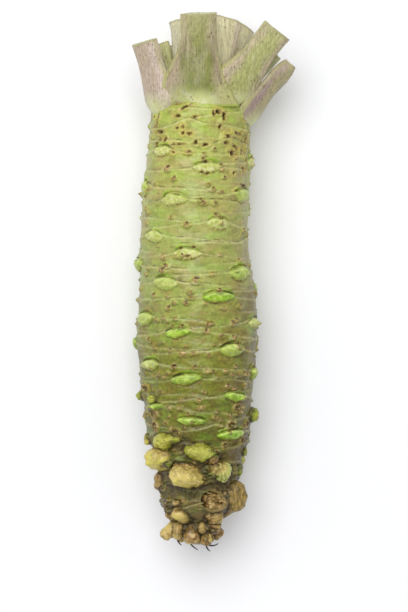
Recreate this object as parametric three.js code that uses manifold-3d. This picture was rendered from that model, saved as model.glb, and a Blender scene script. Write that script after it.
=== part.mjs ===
// A trimmed wasabi rhizome, lying on its back, with its leaf stalks cut short.
//
// The rhizome's axis runs along Y: the crown, where the leaf stalks grow, is at +Y, and the
// root end at -Y. +Z is up. The origin is below the middle of the whole thing, on the surface
// that it lies on. Everything is in millimetres.
//
// While it is being built, y = 0 is the root end and z = 0 is the axis. Angles go round the
// axis in degrees: 0 is up, and 90 is toward +X.
import * as THREE from "three";
import { mergeVertices } from "three/addons/utils/BufferGeometryUtils.js";
import Module from "manifold-3d";

const wasm = await Module();
wasm.setup();

// ---- Driving dimensions ----

const SHOULDER_Y = 147; // where the body turns in to the crown
const AXIS_HEIGHT = 19.6; // of the axis above the surface that it all lies on
const CONTACT_DEPTH = 0.2; // how far the stalks that touch the surface are flattened by it
const GAP = 0.3; // between a leaf stalk or a rootlet and what it grows against

const BODY_SIDES = 26;
const BODY_ROWS = 36;
const CURVE_SAMPLES = 600; // for looking up the outline and the sway
const RING_RELIEF = 0.25; // how far each leaf scar's edge stands out
const FLUTES = 5; // shallow flutes, twisting round the body
const FLUTE_DEPTH = 0.3;
const FLUTE_TWIST = 0.04; // radians for each millimetre along the axis
const FULL_RADIUS = 10; // the body has scars and flutes only where it is thicker than this

const DIVERGENCE = 137.55; // degrees from one leaf scar to the next: the golden angle
const NODE_SPACING = 2; // along the axis, from one leaf scar to the next
const BUD_ZERO = { at: -6, y: 98.3 };
const BUD_RANGE = { from: -17, to: 22 }; // counted toward the root end
const BUD_SIZE = [4.2, 1.5, 1.4]; // half width, half height, how far it stands out
const EMBEDDED = 1.2; // how deep the middle of a bud lies under the skin
const BUD_SEGMENTS = [6, 5]; // round a bud, and over it
const STUB_OVERSHOOT = 0.8; // how far a stub's rounded end goes past its line, in radii

const STALK_STEPS = 9;
const STALK_ARC = 4; // half the number of divisions across a stalk's back
const INNER_ARC = 0.4; // the crescent section's inner bulge, before it is fitted to a stalk
const BEND_HEIGHT = 0.4; // the share of its height by which a stalk has come out by its spread
const ROUNDED = 0.3; // the share of its length over which a stalk's base rounds off
const BASE_NARROWING = 0.88; // how much of a stalk's width, squared, is gone at the very base
const BLUNT_FROM = 0.76; // the share of its length from where a blunt stalk's tip rounds off
const FLARE_END = 0.75; // the share of its length up to where a flared stalk's wing runs
const FLARE_CURVE = 1.5; // how hollow the edge of that wing is

const ROOTLET_RADIUS = 0.4;
const ROOTLET_SIDES = 5;
const ROOTLET_STEPS = 5;

const ROUGHNESS = 0.6;
const WORKSPACE = 400; // a side of the block that stands for the space above the surface
const WELD = 1e-4; // corners nearer to each other than this are one corner
const TINY = 1e-6; // a margin for rounding

const COLOURS = {
  rhizome: 0x8f9a52,
  stalk: 0xb3ad86,
  stalkBack: 0xc9c49e,
  rootlet: 0x2b2119,
};

// The body's outline from the root end to the top of the crown: y, radius.
const OUTLINE = [
  [4, 0],
  [5, 4.8],
  [9, 7.9],
  [13, 10.6],
  [18, 11.2],
  [28, 13.3],
  [38, 16.2],
  [50, 18.2],
  [64, 19],
  [76, 19.6],
  [90, 18.9],
  [106, 18],
  [121, 17.5],
  [134, 16.9],
  [143, 16.3],
  [SHOULDER_Y, 15.2],
  [150, 12.4],
  [153.5, 8.4],
  [157, 4],
  [158.5, 0],
];

// How far the axis lies to the side of a straight line, from the root end to the crown: y, x.
const SWAY = [
  [0, -2.6],
  [12, -0.2],
  [24, 0.6],
  [42, 0.2],
  [75, 0.2],
  [118, -0.7],
  [146, 1.3],
  [160, 2],
];

// Offshoots near the root end that have grown past the size of a bud. at is degrees round
// the axis, and size is as in BUD_SIZE.
const OFFSHOOTS = [
  { at: -86, y: 51, size: [2, 1.9, 1.8] },
  { at: -52, y: 50, size: [1.9, 1.8, 1.9] },
  { at: 40, y: 51, size: [4.6, 1.6, 1.4] },
  { at: -50, y: 47.6, size: [4.2, 1.5, 1.4] },
  { at: 86, y: 44.8, size: [2.6, 2.6, 2.8] },
  { at: -6, y: 43, size: [4.8, 1.5, 1.4] },
  { at: 42, y: 38.4, size: [5, 1.8, 1.9] },
  { at: -86, y: 36.9, size: [2.5, 2.3, 2.9] },
  { at: -42, y: 36.2, size: [4.6, 2.4, 2.6] },
  { at: 1, y: 33, size: [4.4, 2.7, 3.6] },
  { at: 80, y: 32.6, size: [2, 1.8, 2.6] },
  { at: -52, y: 30.2, size: [4.4, 3.8, 5.8] },
  { at: 18, y: 29.8, size: [2, 1.9, 2.8] },
  { at: 33, y: 26.6, size: [3.5, 3.4, 3.8] },
  { at: 70, y: 26.3, size: [2.2, 2, 3] },
  { at: -19, y: 25, size: [5, 3.8, 4.8] },
  { at: -74, y: 23, size: [2.5, 3.3, 3.2] },
  { at: 76, y: 17.6, size: [3.2, 5.4, 4.6] },
  { at: -62, y: 14, size: [1.6, 3, 1.4] },
  { at: -32, y: 11.9, size: [2.3, 2.4, 2.8] },
  { at: 40, y: 11.6, size: [2.5, 2.1, 2.4] },
  { at: 53, y: 7.4, size: [2, 2, 2.8] },
  { at: 165, y: 38, size: [4, 2.6, 2.2] },
  { at: 108, y: 38, size: [2.2, 1.8, 1.8] },
  { at: -140, y: 32, size: [4.4, 3.2, 3.1] },
  { at: 128, y: 29, size: [4.2, 3.4, 3.7] },
  { at: -108, y: 27, size: [2, 1.8, 1.8] },
  { at: -172, y: 24, size: [4.8, 3.7, 3.9] },
  { at: 110, y: 21, size: [2, 1.8, 1.8] },
  { at: -132, y: 20, size: [3.6, 3, 2.4] },
  { at: 142, y: 16, size: [3.5, 3.6, 3.5] },
  { at: -104, y: 15, size: [1.8, 1.8, 1.6] },
  { at: -160, y: 12, size: [2.6, 2.5, 2.4] },
];

// A hollow scar near the root end, where an offshoot tore out: its rim is sized as in
// BUD_SIZE, then come the radius of the bowl inside it, how far the bowl's middle is above
// the skin, and the same two for the torn core inside the bowl.
const HOLLOW = { at: 23, y: 16.6, rim: [4.8, 4.5, 1.4], bowl: [3.4, 0.9], core: [2.9, -1.4] };
const HOLLOW_SEGMENTS = [10, 8];

// The stubs of old roots, which crowd round the root end: the line along the middle of each,
// and its radius.
const STUBS = [
  { from: [-7, 8, 3.6], to: [-10, 4.7, 4], radius: 2.2 },
  { from: [-6, 7.6, 6], to: [-6.6, 4.9, 6.6], radius: 1.7 },
  { from: [-1.6, 6.6, 6], to: [-1.8, 4.1, 6.8], radius: 2.9 },
  { from: [1.3, 8.4, 7], to: [1.7, 6.3, 7.7], radius: 1.4 },
  { from: [3.1, 7, 4.8], to: [3, 2.6, 5.2], radius: 1.7 },
  { from: [5.2, 8.2, 5.4], to: [5.6, 6, 6.6], radius: 0.9 },
  { from: [4, 8, 0], to: [7.2, 4.8, -1.4], radius: 2 },
  { from: [2, 8, -3], to: [4.6, 3.6, -4.6], radius: 2.2 },
  { from: [0, 8, -3], to: [-0.6, 2.9, -5.6], radius: 2.4 },
  { from: [-3, 8, -3], to: [-5.4, 3.8, -4.4], radius: 2.2 },
  { from: [-5, 8, -1], to: [-8.8, 5, -2.2], radius: 1.9 },
  { from: [0, 7, 0], to: [0.4, 3.4, 0.4], radius: 2.4 },
  { from: [-3, 7, 0], to: [-3.8, 3.8, -0.4], radius: 2 },
  { from: [3, 7, 0], to: [3.8, 3.4, -0.8], radius: 2 },
];

// The leaf stalks, the ones that keep their full shape first: each later one is hollowed
// where it nestles against those before it. at and root (radius, y) say where it starts on
// the crown, facing is where its back looks at the cut, and end is the middle of the cut
// (x, y, z). base and cut each give half the width, how far the back bulges and how far the
// inner face does, which is hollow where the stalk sheathes the crown and full at the cut.
// spread is how far out it has come at BEND_HEIGHT, and taper says between which shares of its
// length it narrows. blunt says how much its tip rounds off, and flared that its -across side
// runs down in a wing, straight to the base's full width.
const STALKS = [
  {
    name: "stalk_front_center",
    at: -1, root: [10.4, 146.4], facing: 0, end: [0.4, 176.8, 15], spread: 0.2,
    base: [13, 5.8, 1.6], cut: [5.9, 3.6, -2.6], taper: [0.2, 0.85], flared: true,
  },
  {
    name: "stalk_left_outer",
    at: -64, root: [11.6, 144.6], facing: -48, end: [-17.2, 168.2, 8.6], spread: 0.4,
    base: [9.8, 5.2, 1.4], cut: [5.7, 3.6, -1.4], taper: [0.1, 0.8],
  },
  {
    name: "stalk_right_front",
    at: 40, root: [9.8, 147], facing: 22, end: [26.3, 171.8, 10.5], spread: 0.36,
    base: [9.6, 4.6, 1], cut: [5.2, 2.9, -2.2], taper: [0.1, 0.8],
  },
  {
    name: "stalk_right_outer",
    at: 84, root: [11.2, 141.4], facing: 62, end: [30.6, 161.8, 2.6], spread: 0.4,
    base: [9.4, 5, 1.4], cut: [4.8, 3.2, -0.8], taper: [0.1, 0.75], blunt: 0.88,
  },
  {
    name: "stalk_under_right",
    at: 158, root: [11.2, 144], facing: 164, end: [8, 170, -15], spread: 0.2,
    base: [10.4, 5.2, 1.4], cut: [6, 3.4, -2.4], taper: [0.15, 0.8], lies: true,
  },
  {
    name: "stalk_under_left",
    at: -134, root: [11.4, 145], facing: -146, end: [-11.5, 168, -14], spread: 0.2,
    base: [10, 5.2, 1.4], cut: [5.8, 3.4, -2.4], taper: [0.15, 0.8], lies: true,
  },
  {
    name: "stalk_right_inner",
    at: 104, root: [9.4, 147], facing: 72, end: [25.6, 165.4, -2.4], spread: 0.36,
    base: [7.6, 4, 0.6], cut: [5, 2.6, -1.6], taper: [0.1, 0.8],
  },
  {
    name: "stalk_left_inner",
    at: -84, root: [8, 148], facing: -70, end: [-11.6, 167.6, -2.4], spread: 0.3,
    base: [7, 3.6, 0], cut: [4.6, 2.6, -1.6], taper: [0.1, 0.8],
  },
  {
    name: "stalk_back_left",
    at: -40, root: [6, 149], facing: -50, end: [-5.6, 175.6, 3.2], spread: 0.3,
    base: [6, 3.4, -0.6], cut: [5, 2.8, -1.8], taper: [0.1, 0.8],
  },
  {
    name: "stalk_back_center",
    at: 30, root: [5, 149], facing: 20, end: [9, 176.4, 2], spread: 0.3,
    base: [6, 3.2, -0.8], cut: [6.2, 3, -1.8], taper: [0.1, 0.8],
  },
  {
    name: "stalk_back_right",
    at: 130, root: [5, 150], facing: 60, end: [16, 174, -5], spread: 0.3,
    base: [5, 3, -1], cut: [5.4, 2.8, -1.8], taper: [0.1, 0.8],
  },
  {
    name: "stalk_heart",
    at: -150, root: [3.4, 151], facing: -160, end: [0.4, 171.5, -5.4], spread: 0.3,
    base: [5, 2.6, -1.2], cut: [4.6, 2.6, -2], taper: [0.1, 0.8],
  },
];

// Fine dead rootlets at the root end: the points that each one follows.
const ROOTLETS = [
  [[-6.4, 3, 4.6], [-5.9, 1.8, 4.8], [-5.1, 1.3, 4.4]],
  [[-2.2, 1.9, 4.4], [-1.2, 0.5, 4.5], [0.3, -0.2, 4.2]],
  [[3.1, 0.9, 4], [3.6, -0.2, 4.3], [4.3, -0.7, 4]],
  [[3.9, 1.3, 3.6], [5.6, 0.7, 4.2], [7.1, 1.9, 4.4]],
];

// ---- Solids ----

// A closed geometry as a solid.
function solidOf(geometry) {
  geometry.deleteAttribute("normal");
  geometry.deleteAttribute("uv");
  const { attributes, index } = mergeVertices(geometry, WELD);
  return new wasm.Manifold(
    new wasm.Mesh({
      numProp: 3,
      vertProperties: attributes.position.array,
      triVerts: new Uint32Array(index.array),
    }),
  );
}

function geometryOf(solid) {
  const { vertProperties, triVerts } = solid.getMesh();
  const geometry = new THREE.BufferGeometry();
  geometry.setAttribute("position", new THREE.BufferAttribute(vertProperties, 3));
  geometry.setIndex(new THREE.BufferAttribute(triVerts, 1));
  geometry.computeVertexNormals();
  return geometry;
}

// The largest of the bodies that a cut leaves.
function largestOf(solid) {
  return solid.decompose().reduce((a, b) => (a.volume() > b.volume() ? a : b));
}

function mesh(name, solid, colour) {
  const look = { color: colour, roughness: ROUGHNESS, metalness: 0 };
  const material = new THREE.MeshStandardMaterial(look);
  const made = new THREE.Mesh(geometryOf(solid), material);
  made.name = name;
  return made;
}

// The space above the surface that the whole thing lies on.
function spaceAbove() {
  const block = new THREE.BoxGeometry(WORKSPACE, WORKSPACE, WORKSPACE);
  return solidOf(block.translate(0, 0, WORKSPACE / 2 - AXIS_HEIGHT));
}

const above = spaceAbove();

// ---- The rhizome ----

const outline = new THREE.SplineCurve(OUTLINE.map(([y, r]) => new THREE.Vector2(r, y)));
const outlineSamples = outline.getSpacedPoints(CURVE_SAMPLES);
const sway = new THREE.SplineCurve(SWAY.map(([y, x]) => new THREE.Vector2(x, y)));
const swaySamples = sway.getSpacedPoints(CURVE_SAMPLES);

// The body's radius at a place along its axis.
function radiusAt(y) {
  return outlineSamples.find((p) => p.y > y).x;
}

// How far the axis lies to the side at a place along it.
function swayAt(y) {
  return swaySamples.find((p) => p.y > y).x;
}

function outwardAt(degrees) {
  const angle = THREE.MathUtils.degToRad(degrees);
  return new THREE.Vector3(Math.sin(angle), 0, Math.cos(angle));
}

// A point at a distance from the axis.
function around(degrees, radius, y) {
  const point = outwardAt(degrees).multiplyScalar(radius);
  return point.add(new THREE.Vector3(swayAt(y), y, 0));
}

// The body of revolution, fluted and swaying. grow makes it larger all round.
function bodyGeometry(grow = 0) {
  const points = outline.getSpacedPoints(BODY_ROWS);
  points.forEach((p, row) => {
    const onBody = p.x > FULL_RADIUS ? RING_RELIEF : 0;
    p.x = Math.max(0, p.x) + (row % 2 ? onBody : -onBody) + grow;
  });
  points[0].set(0, points[0].y - grow);
  points[BODY_ROWS].set(0, points[BODY_ROWS].y + grow);
  const geometry = new THREE.LatheGeometry(points, BODY_SIDES);
  const position = geometry.attributes.position;
  const vertex = new THREE.Vector3();
  for (let i = 0; i < position.count; i++) {
    vertex.fromBufferAttribute(position, i);
    const radius = Math.hypot(vertex.x, vertex.z);
    const angle = Math.atan2(vertex.x, vertex.z);
    const flute = FLUTE_DEPTH * Math.sin(FLUTES * angle + FLUTE_TWIST * vertex.y);
    const scale = radius > FULL_RADIUS ? 1 + flute / radius : 1;
    position.setXYZ(i, vertex.x * scale + swayAt(vertex.y), vertex.y, vertex.z * scale);
  }
  return geometry;
}

// A rounded lump whose middle lies just under the skin.
function lump({ at, y, size: [width, height, out] }) {
  const outward = outwardAt(at);
  const along = new THREE.Vector3(0, 1, 0);
  const across = new THREE.Vector3().crossVectors(along, outward);
  const place = around(at, radiusAt(y) - EMBEDDED, y);
  const matrix = new THREE.Matrix4().makeBasis(across, along, outward);
  matrix.scale(new THREE.Vector3(width, height, out + EMBEDDED)).setPosition(place);
  return solidOf(new THREE.SphereGeometry(1, ...BUD_SEGMENTS).applyMatrix4(matrix));
}

// A ball whose middle is at a height over the skin.
function ball({ at, y }, [radius, height]) {
  const place = around(at, radiusAt(y) + height, y);
  const geometry = new THREE.SphereGeometry(radius, ...HOLLOW_SEGMENTS);
  return solidOf(geometry.translate(place.x, place.y, place.z));
}

// The stub of an old root. grow makes it larger all round.
function stub({ from, to, radius }, grow = 0) {
  const start = new THREE.Vector3(...from);
  const end = new THREE.Vector3(...to);
  const along = end.clone().sub(start);
  const length = along.length() / 2 + STUB_OVERSHOOT * radius + grow;
  const across = new THREE.Vector3().crossVectors(along, new THREE.Vector3(0, 0, 1)).normalize();
  const thick = new THREE.Vector3().crossVectors(across, along.normalize());
  const matrix = new THREE.Matrix4().makeBasis(across, along, thick);
  matrix.scale(new THREE.Vector3(radius + grow, length, radius + grow));
  matrix.setPosition(start.lerp(end, 0.5));
  return solidOf(new THREE.SphereGeometry(1, ...BUD_SEGMENTS).applyMatrix4(matrix));
}

function buds() {
  const made = [];
  for (let n = BUD_RANGE.from; n <= BUD_RANGE.to; n++) {
    const at = BUD_ZERO.at + n * DIVERGENCE;
    made.push(lump({ at, y: BUD_ZERO.y - n * NODE_SPACING, size: BUD_SIZE }));
  }
  return made;
}

function join(solids) {
  return solids.reduce((whole, one) => whole.add(one));
}

function rhizome() {
  const rim = lump({ ...HOLLOW, size: HOLLOW.rim });
  const body = join([solidOf(bodyGeometry()), rim]).subtract(ball(HOLLOW, HOLLOW.bowl));
  const lumps = [...buds(), ...OFFSHOOTS.map(lump), ...STUBS.map((one) => stub(one))];
  return join([body, ball(HOLLOW, HOLLOW.core), ...lumps]).intersect(above);
}

// ---- The leaf stalks ----

// A crescent, 2 wide, whose back bulges by 1.
function crescent() {
  const shape = new THREE.Shape();
  shape.absellipse(0, 0, 1, 1, 0, Math.PI, false);
  shape.absellipse(0, 0, 1, INNER_ARC, Math.PI, 0, true);
  return shape;
}

// Where a stalk's middle runs: up along the axis from the crown, then out to the cut.
function stalkCurve({ at, root: [radius, y], end, spread }) {
  const start = around(at, radius, y);
  const cut = new THREE.Vector3(...end);
  const bend = start.clone().lerp(cut, spread);
  bend.y = start.y + BEND_HEIGHT * (cut.y - start.y);
  return new THREE.QuadraticBezierCurve3(start, bend, cut);
}

// A crescent swept along a stalk and fitted to its widths. grow makes it larger all round.
function stalkSolid(stalk, grow = 0) {
  const { at, facing, base, cut, taper, blunt = 0, flared = false } = stalk;
  const curve = stalkCurve(stalk);
  const options = { depth: 1, steps: STALK_STEPS, curveSegments: STALK_ARC, bevelEnabled: false };
  const geometry = new THREE.ExtrudeGeometry(crescent(), options);
  const position = geometry.attributes.position;
  for (let i = 0; i < position.count; i++) {
    const across = position.getX(i);
    const rim = Math.sqrt(Math.max(0, 1 - across * across));
    const onBack = position.getY(i) > (rim * (1 + INNER_ARC)) / 2 + TINY;
    const along = position.getZ(i);
    const narrowed = THREE.MathUtils.smoothstep(along, ...taper);
    const [full, back, inner] = base.map((b, k) => THREE.MathUtils.lerp(b, cut[k], narrowed));
    const corner = Math.max(0, 1 - along / ROUNDED) ** 2;
    const tip = blunt * Math.max(0, (along - BLUNT_FROM) / (1 - BLUNT_FROM)) ** 2;
    const wing = Math.max(0, 1 - along / FLARE_END) ** FLARE_CURVE;
    const width = flared && across < 0
      ? THREE.MathUtils.lerp(cut[0], base[0], wing)
      : full * Math.sqrt((1 - BASE_NARROWING * corner) * (1 - tip));
    const tangent = curve.getTangent(along);
    const outward = outwardAt(THREE.MathUtils.lerp(at, facing, along));
    outward.addScaledVector(tangent, -outward.dot(tangent)).normalize();
    const sideways = new THREE.Vector3().crossVectors(outward, tangent);
    const bulge = onBack ? rim * back + grow : rim * inner - 2 * grow;
    const point = curve.getPoint(along);
    point.addScaledVector(sideways, across * (width + grow));
    point.addScaledVector(outward, bulge);
    position.setXYZ(i, point.x, point.y, point.z);
  }
  return solidOf(geometry);
}

// A stalk on the table side comes down until its lowest edge touches the surface.
function laidDown(stalk) {
  if (!stalk.lies) return stalk;
  const [x, y, z] = stalk.end;
  const lowest = stalkSolid(stalk).boundingBox().min[2];
  return { ...stalk, end: [x, y, z - AXIS_HEIGHT - CONTACT_DEPTH - lowest] };
}

function stalks(crown) {
  const taken = [crown];
  return STALKS.map(laidDown).map((stalk) => {
    const whole = stalkSolid(stalk);
    const fitted = taken.reduce((left, other) => left.subtract(other), whole);
    taken.push(stalkSolid(stalk, GAP));
    const colour = stalk.name.includes("back") ? COLOURS.stalkBack : COLOURS.stalk;
    return mesh(stalk.name, largestOf(fitted.intersect(above)), colour);
  });
}

// ---- The rootlets ----

function rootlet(points, index) {
  const path = new THREE.CatmullRomCurve3(points.map((p) => new THREE.Vector3(...p)));
  const section = new THREE.Shape();
  for (let i = 0; i < ROOTLET_SIDES; i++) {
    const angle = (i * 2 * Math.PI) / ROOTLET_SIDES;
    const corner = [ROOTLET_RADIUS * Math.cos(angle), ROOTLET_RADIUS * Math.sin(angle)];
    if (i) section.lineTo(...corner);
    else section.moveTo(...corner);
  }
  const options = { steps: ROOTLET_STEPS, extrudePath: path };
  const whole = solidOf(new THREE.ExtrudeGeometry(section, options));
  const free = whole.subtract(join(STUBS.map((one) => stub(one, GAP))));
  return mesh(`rootlet_${index + 1}`, largestOf(free), COLOURS.rootlet);
}

// ---- The whole thing ----

const plant = new THREE.Group();
plant.add(mesh("rhizome", rhizome(), COLOURS.rhizome));
plant.add(...stalks(solidOf(bodyGeometry(GAP))));
plant.add(...ROOTLETS.map(rootlet));

const middle = new THREE.Box3().setFromObject(plant).getCenter(new THREE.Vector3());
plant.position.set(-middle.x, -middle.y, AXIS_HEIGHT);

const wasabi = new THREE.Group();
wasabi.add(plant);

export default wasabi;
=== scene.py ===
"""The looks of a trimmed wasabi rhizome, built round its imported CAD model.

Lengths are in millimetres, as in the CAD model, and add_piece() turns them into metres.
As there, y = 0 is the root end and z = 0 is the rhizome's axis while a piece is shaped.
Angles go round the axis in degrees: 0 is up, and 90 is toward +X.
"""

import bpy
import numpy as np
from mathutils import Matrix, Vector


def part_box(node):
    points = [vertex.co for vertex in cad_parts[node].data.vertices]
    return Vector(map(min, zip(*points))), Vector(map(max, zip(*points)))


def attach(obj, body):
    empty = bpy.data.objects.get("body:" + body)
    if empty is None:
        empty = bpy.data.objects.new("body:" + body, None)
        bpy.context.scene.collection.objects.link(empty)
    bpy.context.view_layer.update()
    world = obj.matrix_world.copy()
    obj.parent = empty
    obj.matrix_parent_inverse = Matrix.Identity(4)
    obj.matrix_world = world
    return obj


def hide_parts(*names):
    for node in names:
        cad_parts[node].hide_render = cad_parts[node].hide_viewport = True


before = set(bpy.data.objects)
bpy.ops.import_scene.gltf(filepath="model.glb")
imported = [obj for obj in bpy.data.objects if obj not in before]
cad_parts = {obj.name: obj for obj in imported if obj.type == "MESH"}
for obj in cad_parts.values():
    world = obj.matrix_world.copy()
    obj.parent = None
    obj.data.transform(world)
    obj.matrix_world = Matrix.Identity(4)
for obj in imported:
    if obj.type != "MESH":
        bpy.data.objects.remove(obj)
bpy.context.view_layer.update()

MM = 0.001
TINY = 1e-9  # keeps a division from being by zero
SEED = 11

# ---- The rhizome's driving dimensions, as in the CAD model ----

AXIS_HEIGHT = 19.6
CROWN_Y = 158.5  # the top of the crown, inside the leaf stalks
SHOULDER_Y = 147
NODE_SPACING = 2
DIVERGENCE = 137.55  # degrees from one leaf scar to the next: the golden angle
BUD_ZERO_AT = -6
BUD_ZERO_Y = 98.3

# The body's outline from the root end to the top of the crown: y, radius.
OUTLINE = [
    (4, 0),
    (5, 4.8),
    (9, 7.9),
    (13, 10.6),
    (18, 11.2),
    (28, 13.3),
    (38, 16.2),
    (50, 18.2),
    (64, 19),
    (76, 19.6),
    (90, 18.9),
    (106, 18),
    (121, 17.5),
    (134, 16.9),
    (143, 16.3),
    (SHOULDER_Y, 15.2),
    (150, 12.4),
    (153.5, 8.4),
    (157, 4),
    (CROWN_Y, 0),
]

# How far the axis lies to the side of a straight line: y, x.
SWAY = [(0, -2.6), (12, -0.2), (24, 0.6), (42, 0.2), (75, 0.2), (118, -0.7), (146, 1.3), (160, 2)]

# The buds on the upper side: x, y, half width, half height, how far it stands out, and how
# pale it is, from 0 for bright green to 1 for yellowish white.
BUDS = [
    (-11.3, 131.7, 4, 1.8, 0.7, 1),
    (3.3, 126.2, 4.9, 1.9, 0.9, 0.85),
    (-17.3, 120, 2.6, 2.6, 1.3, 0.4),
    (-7.3, 115.7, 4.9, 2.2, 0.9, 0.75),
    (14.2, 117.4, 4.6, 2.2, 1.4, 0.35),
    (7.3, 107.7, 4.4, 2.1, 0.9, 0.75),
    (-14.3, 103.5, 4.2, 1.9, 1, 0.7),
    (-3, 97.8, 4.8, 2, 1, 0.9),
    (14.3, 91.8, 5, 2.2, 1.5, 0.3),
    (-10.3, 88.3, 5, 2.1, 1.2, 0.55),
    (7, 83.7, 5.6, 1.7, 1.3, 0),
    (-17.3, 76.6, 4.6, 2.2, 1.6, 0.45),
    (18.4, 75, 4.4, 2, 1.3, 0.8),
    (-6.3, 72, 4.7, 1.5, 1.3, 0),
    (11, 66.4, 4.8, 2.2, 1.9, 0.35),
    (-15.5, 61.3, 4.4, 1.8, 1.3, 0.7),
    (-3.3, 56.8, 5.3, 1.8, 1.9, 0.15),
    (18.3, 58.4, 3, 2, 2, 0.3),
    (12.6, 50.8, 5, 1.5, 1.3, 0.05),
    (-13.6, 47.6, 4.4, 1.2, 1.4, 0.1),
    (-1.7, 43, 5, 1.3, 1.4, 0.15),
    (11, 38.4, 5.4, 1.6, 2, 0),
]

# Root scars on the upper side: x, y, size, how far it stands out, how brown it is.
ROOT_SCARS = [
    (-9.7, 125.7, 1.2, 0.7, 1),
    (-3, 131, 1.1, 0.4, 0.8),
    (2.4, 130.3, 0.7, 0.4, 0.5),
    (-13.6, 121, 1, 0.5, 0.5),
    (5.4, 119, 0.9, 0.6, 0.7),
    (7.7, 118.3, 0.9, 0.6, 0.6),
    (2, 114.4, 1.1, 0.5, 0.8),
    (5.8, 114.4, 1.1, 0.5, 0.6),
    (-17, 113, 0.9, 0.7, 0.7),
    (-3.3, 107.4, 1.1, 0.7, 0.9),
    (-8.4, 109.7, 0.8, 0.3, 0.4),
    (15.6, 105.6, 1.2, 0.7, 0.9),
    (7.7, 97.7, 0.9, 0.6, 0.8),
    (-11, 96.6, 1, 0.4, 0.5),
    (-11.2, 92.4, 1.4, 0.9, 1),
    (-16, 93, 0.8, 0.7, 0.7),
    (-0.3, 89, 1.3, 0.7, 0.9),
    (4.6, 91, 0.9, 0.5, 0.2),
    (-18.4, 86.3, 1, 0.8, 0.9),
    (7, 85.8, 1, 1, 1),
    (-7.3, 81.7, 0.9, 0.7, 0.7),
    (-3.3, 81.7, 0.9, 0.7, 0.7),
    (2.6, 81.3, 0.8, 0.5, 0.5),
    (8.7, 80, 0.9, 0.8, 0.6),
    (-11, 77, 0.9, 0.5, 0.7),
    (-7, 76.6, 0.8, 0.4, 0.5),
    (4.7, 75, 0.9, 0.6, 0.8),
    (11.7, 75, 1.2, 0.9, 0.6),
    (-7.6, 73.7, 0.8, 0.8, 1),
    (-4.8, 73.9, 1, 0.7, 0.5),
    (-15.6, 69.5, 1.2, 0.9, 0.4),
    (7.7, 70.7, 1, 0.5, 0.7),
    (11.8, 70.2, 1, 0.6, 0.6),
    (-8.6, 66, 0.8, 0.5, 0.8),
    (-4.6, 65, 1.2, 0.5, 0.8),
    (-1.2, 65, 0.9, 0.5, 0.8),
    (4, 64.6, 0.9, 0.5, 0.8),
    (-7.3, 60.6, 1.1, 0.9, 1),
    (-0.7, 60.7, 1, 0.7, 0.7),
    (9, 59, 0.9, 0.8, 1),
    (11, 58.2, 0.9, 0.8, 0.6),
    (15.3, 58.3, 1, 0.9, 0.7),
    (3.3, 59.4, 0.9, 0.4, 0.7),
    (-12.4, 58, 1, 0.4, 0.6),
    (9.6, 54.4, 1, 0.8, 1),
    (15.3, 54.3, 1, 0.7, 0.8),
    (-17.3, 54.2, 1.2, 1, 0.9),
    (-12.4, 52.4, 0.9, 0.6, 0.6),
    (0.6, 49.7, 1, 0.8, 0.9),
    (-5.4, 49.6, 0.9, 0.4, 0.5),
    (13, 48.6, 1, 0.7, 1),
    (-5.4, 47, 0.9, 0.7, 0.6),
    (0, 47, 0.9, 0.7, 0.6),
    (-11, 48.6, 0.8, 0.5, 0.9),
    (10.4, 44.4, 1, 0.6, 0.8),
    (14, 45.6, 1, 0.7, 0.9),
    (-17.7, 44, 1.3, 1.1, 0.9),
    (6.3, 46, 0.8, 0.4, 0.8),
]

# Round scars with a raised rim and a dark middle, where thicker roots grew: x, y, radius.
RING_SCARS = [
    (12.6, 67.6, 1.3),
    (-14, 45.4, 1.7),
    (-13.6, 41, 1.5),
    (10.8, 41.4, 1.4),
    (-6.6, 39, 1.1),
    (12.4, 47.2, 1.1),
    (16, 41.6, 1.2),
    (-16.6, 53.4, 1.2),
    (14, 36.4, 1),
    (9.2, 34.7, 1),
]

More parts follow.
